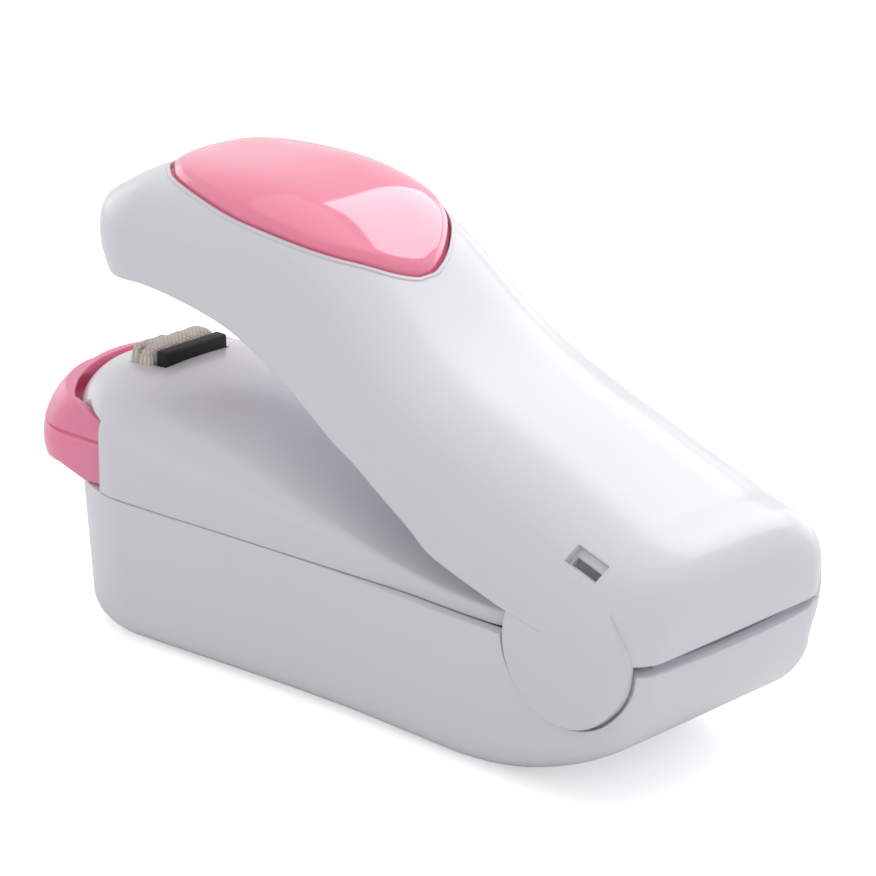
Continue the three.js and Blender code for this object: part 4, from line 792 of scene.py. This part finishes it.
# Solids shown as they are, with a material
CARRIED = {
    INNER: ["arm_inner_plate"],
    SILICONE: ["jaw_silicone_strip"],
    WHITE: ["battery_door"],
    CELL: ["battery_cell_1", "battery_cell_2"],
    CERAMIC: ["heater_block"],
    FOIL: ["heater_ribbon"],
    SWITCH: ["micro_switch"],
    STEEL: ["thumb_spring", "arm_spring", "battery_spring_1", "battery_spring_2", "series_link_plate",
            "contact_plate_1", "contact_plate_2", "pivot_pin", "base_magnet", "base_screw_1", "base_screw_2",
            "base_screw_3", "base_screw_4"],
}
ROUND = ("battery_cell", "battery_spring", "arm_spring", "thumb_spring", "pivot", "base_")
for mat, names in CARRIED.items():
    for node in names:
        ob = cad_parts[node]
        for slot in ob.material_slots:
            slot.material = mat
        if node.startswith(ROUND):
            smooth(ob.data, ROUND_SHARP)

# Floor: pale, and a little brighter to the camera alone
FLOOR_HALF, FLOOR_TONE, FLOOR_ROUGH, FLOOR_GLOW = 3000, 0.9, 0.6, 0.5
corners = [(-FLOOR_HALF, -FLOOR_HALF, 0), (FLOOR_HALF, -FLOOR_HALF, 0), (FLOOR_HALF, FLOOR_HALF, 0),
           (-FLOOR_HALF, FLOOR_HALF, 0)]
floor = make("floor", corners, [(0, 1, 2, 3)])
fm = bpy.data.materials.new("floor")
fm.use_nodes = True
nt = fm.node_tree
bsdf = nt.nodes["Principled BSDF"]
bsdf.inputs["Base Color"].default_value = (FLOOR_TONE, FLOOR_TONE, FLOOR_TONE, 1)
bsdf.inputs["Roughness"].default_value = FLOOR_ROUGH
path = nt.nodes.new("ShaderNodeLightPath")
glow = nt.nodes.new("ShaderNodeMath")
glow.operation = "MULTIPLY"
glow.inputs[1].default_value = FLOOR_GLOW
nt.links.new(path.outputs["Is Camera Ray"], glow.inputs[0])
bsdf.inputs["Emission Color"].default_value = (1, 1, 1, 1)
nt.links.new(glow.outputs[0], bsdf.inputs["Emission Strength"])
floor.data.materials.append(fm)

# World: full strength to the camera and to reflections, less as light
WORLD_LIGHT, WORLD_SEEN = 0.645, 1.0
scene = bpy.context.scene
world = bpy.data.worlds.new("studio")
scene.world = world
world.use_nodes = True
nt = world.node_tree
sky = nt.nodes["Background"]
path = nt.nodes.new("ShaderNodeLightPath")
seen = nt.nodes.new("ShaderNodeMath")
seen.operation = "MAXIMUM"
nt.links.new(path.outputs["Is Camera Ray"], seen.inputs[0])
nt.links.new(path.outputs["Is Glossy Ray"], seen.inputs[1])
level = nt.nodes.new("ShaderNodeMapRange")
level.inputs["To Min"].default_value = WORLD_LIGHT
level.inputs["To Max"].default_value = WORLD_SEEN
nt.links.new(seen.outputs[0], level.inputs["Value"])
nt.links.new(level.outputs["Result"], sky.inputs["Strength"])
sky.inputs["Color"].default_value = (1, 1, 1, 1)

# Lamps: name, place, aim and size in metres, power in watts
LAMPS = [("back", (-0.03, 0.8, 0.66), (0, 0, 0.045), (0.7, 0.52), 2.9),
         ("overhead", (0, 0, 0.95), (0, 0, 0.03), (1.2, 1.2), 1.7),
         ("far_low", (0, 0.8, 0.15), (0, 0, 0.035), (0.6, 0.3), 0.7),
         ("left", (-0.8, 0.05, 0.2), (0, 0, 0.035), (0.5, 0.4), 0.5)]


def softbox(name, place, target, size, power):
    data = bpy.data.lights.new(name, "AREA")
    data.shape = "RECTANGLE"
    data.size, data.size_y = size
    data.energy = power
    ob = bpy.data.objects.new(name, data)
    ob.location = place
    ob.rotation_euler = (Vector(target) - Vector(place)).to_track_quat("-Z", "Y").to_euler()
    scene.collection.objects.link(ob)


for lamp in LAMPS:
    softbox(*lamp)

# Camera, where the photograph was taken from
AZ, EL, DIST = math.radians(42.5), math.radians(19.8), 0.65
TARGET = Vector((0.0046, 0.0011, 0.0354))
LENS, SENSOR, CLIP_NEAR, CLIP_FAR = 194.7, 36, 0.01, 20
cam_data = bpy.data.cameras.new("camera")
cam_data.lens = LENS
cam_data.sensor_width = SENSOR
cam_data.clip_start = CLIP_NEAR
cam_data.clip_end = CLIP_FAR
cam = bpy.data.objects.new("camera", cam_data)
towards = Vector((math.sin(AZ) * math.cos(EL), -math.cos(AZ) * math.cos(EL), math.sin(EL)))
cam.location = TARGET + DIST * towards
cam.rotation_euler = (TARGET - cam.location).to_track_quat("-Z", "Y").to_euler()
scene.collection.objects.link(cam)
scene.camera = cam
scene.view_settings.view_transform = "Standard"
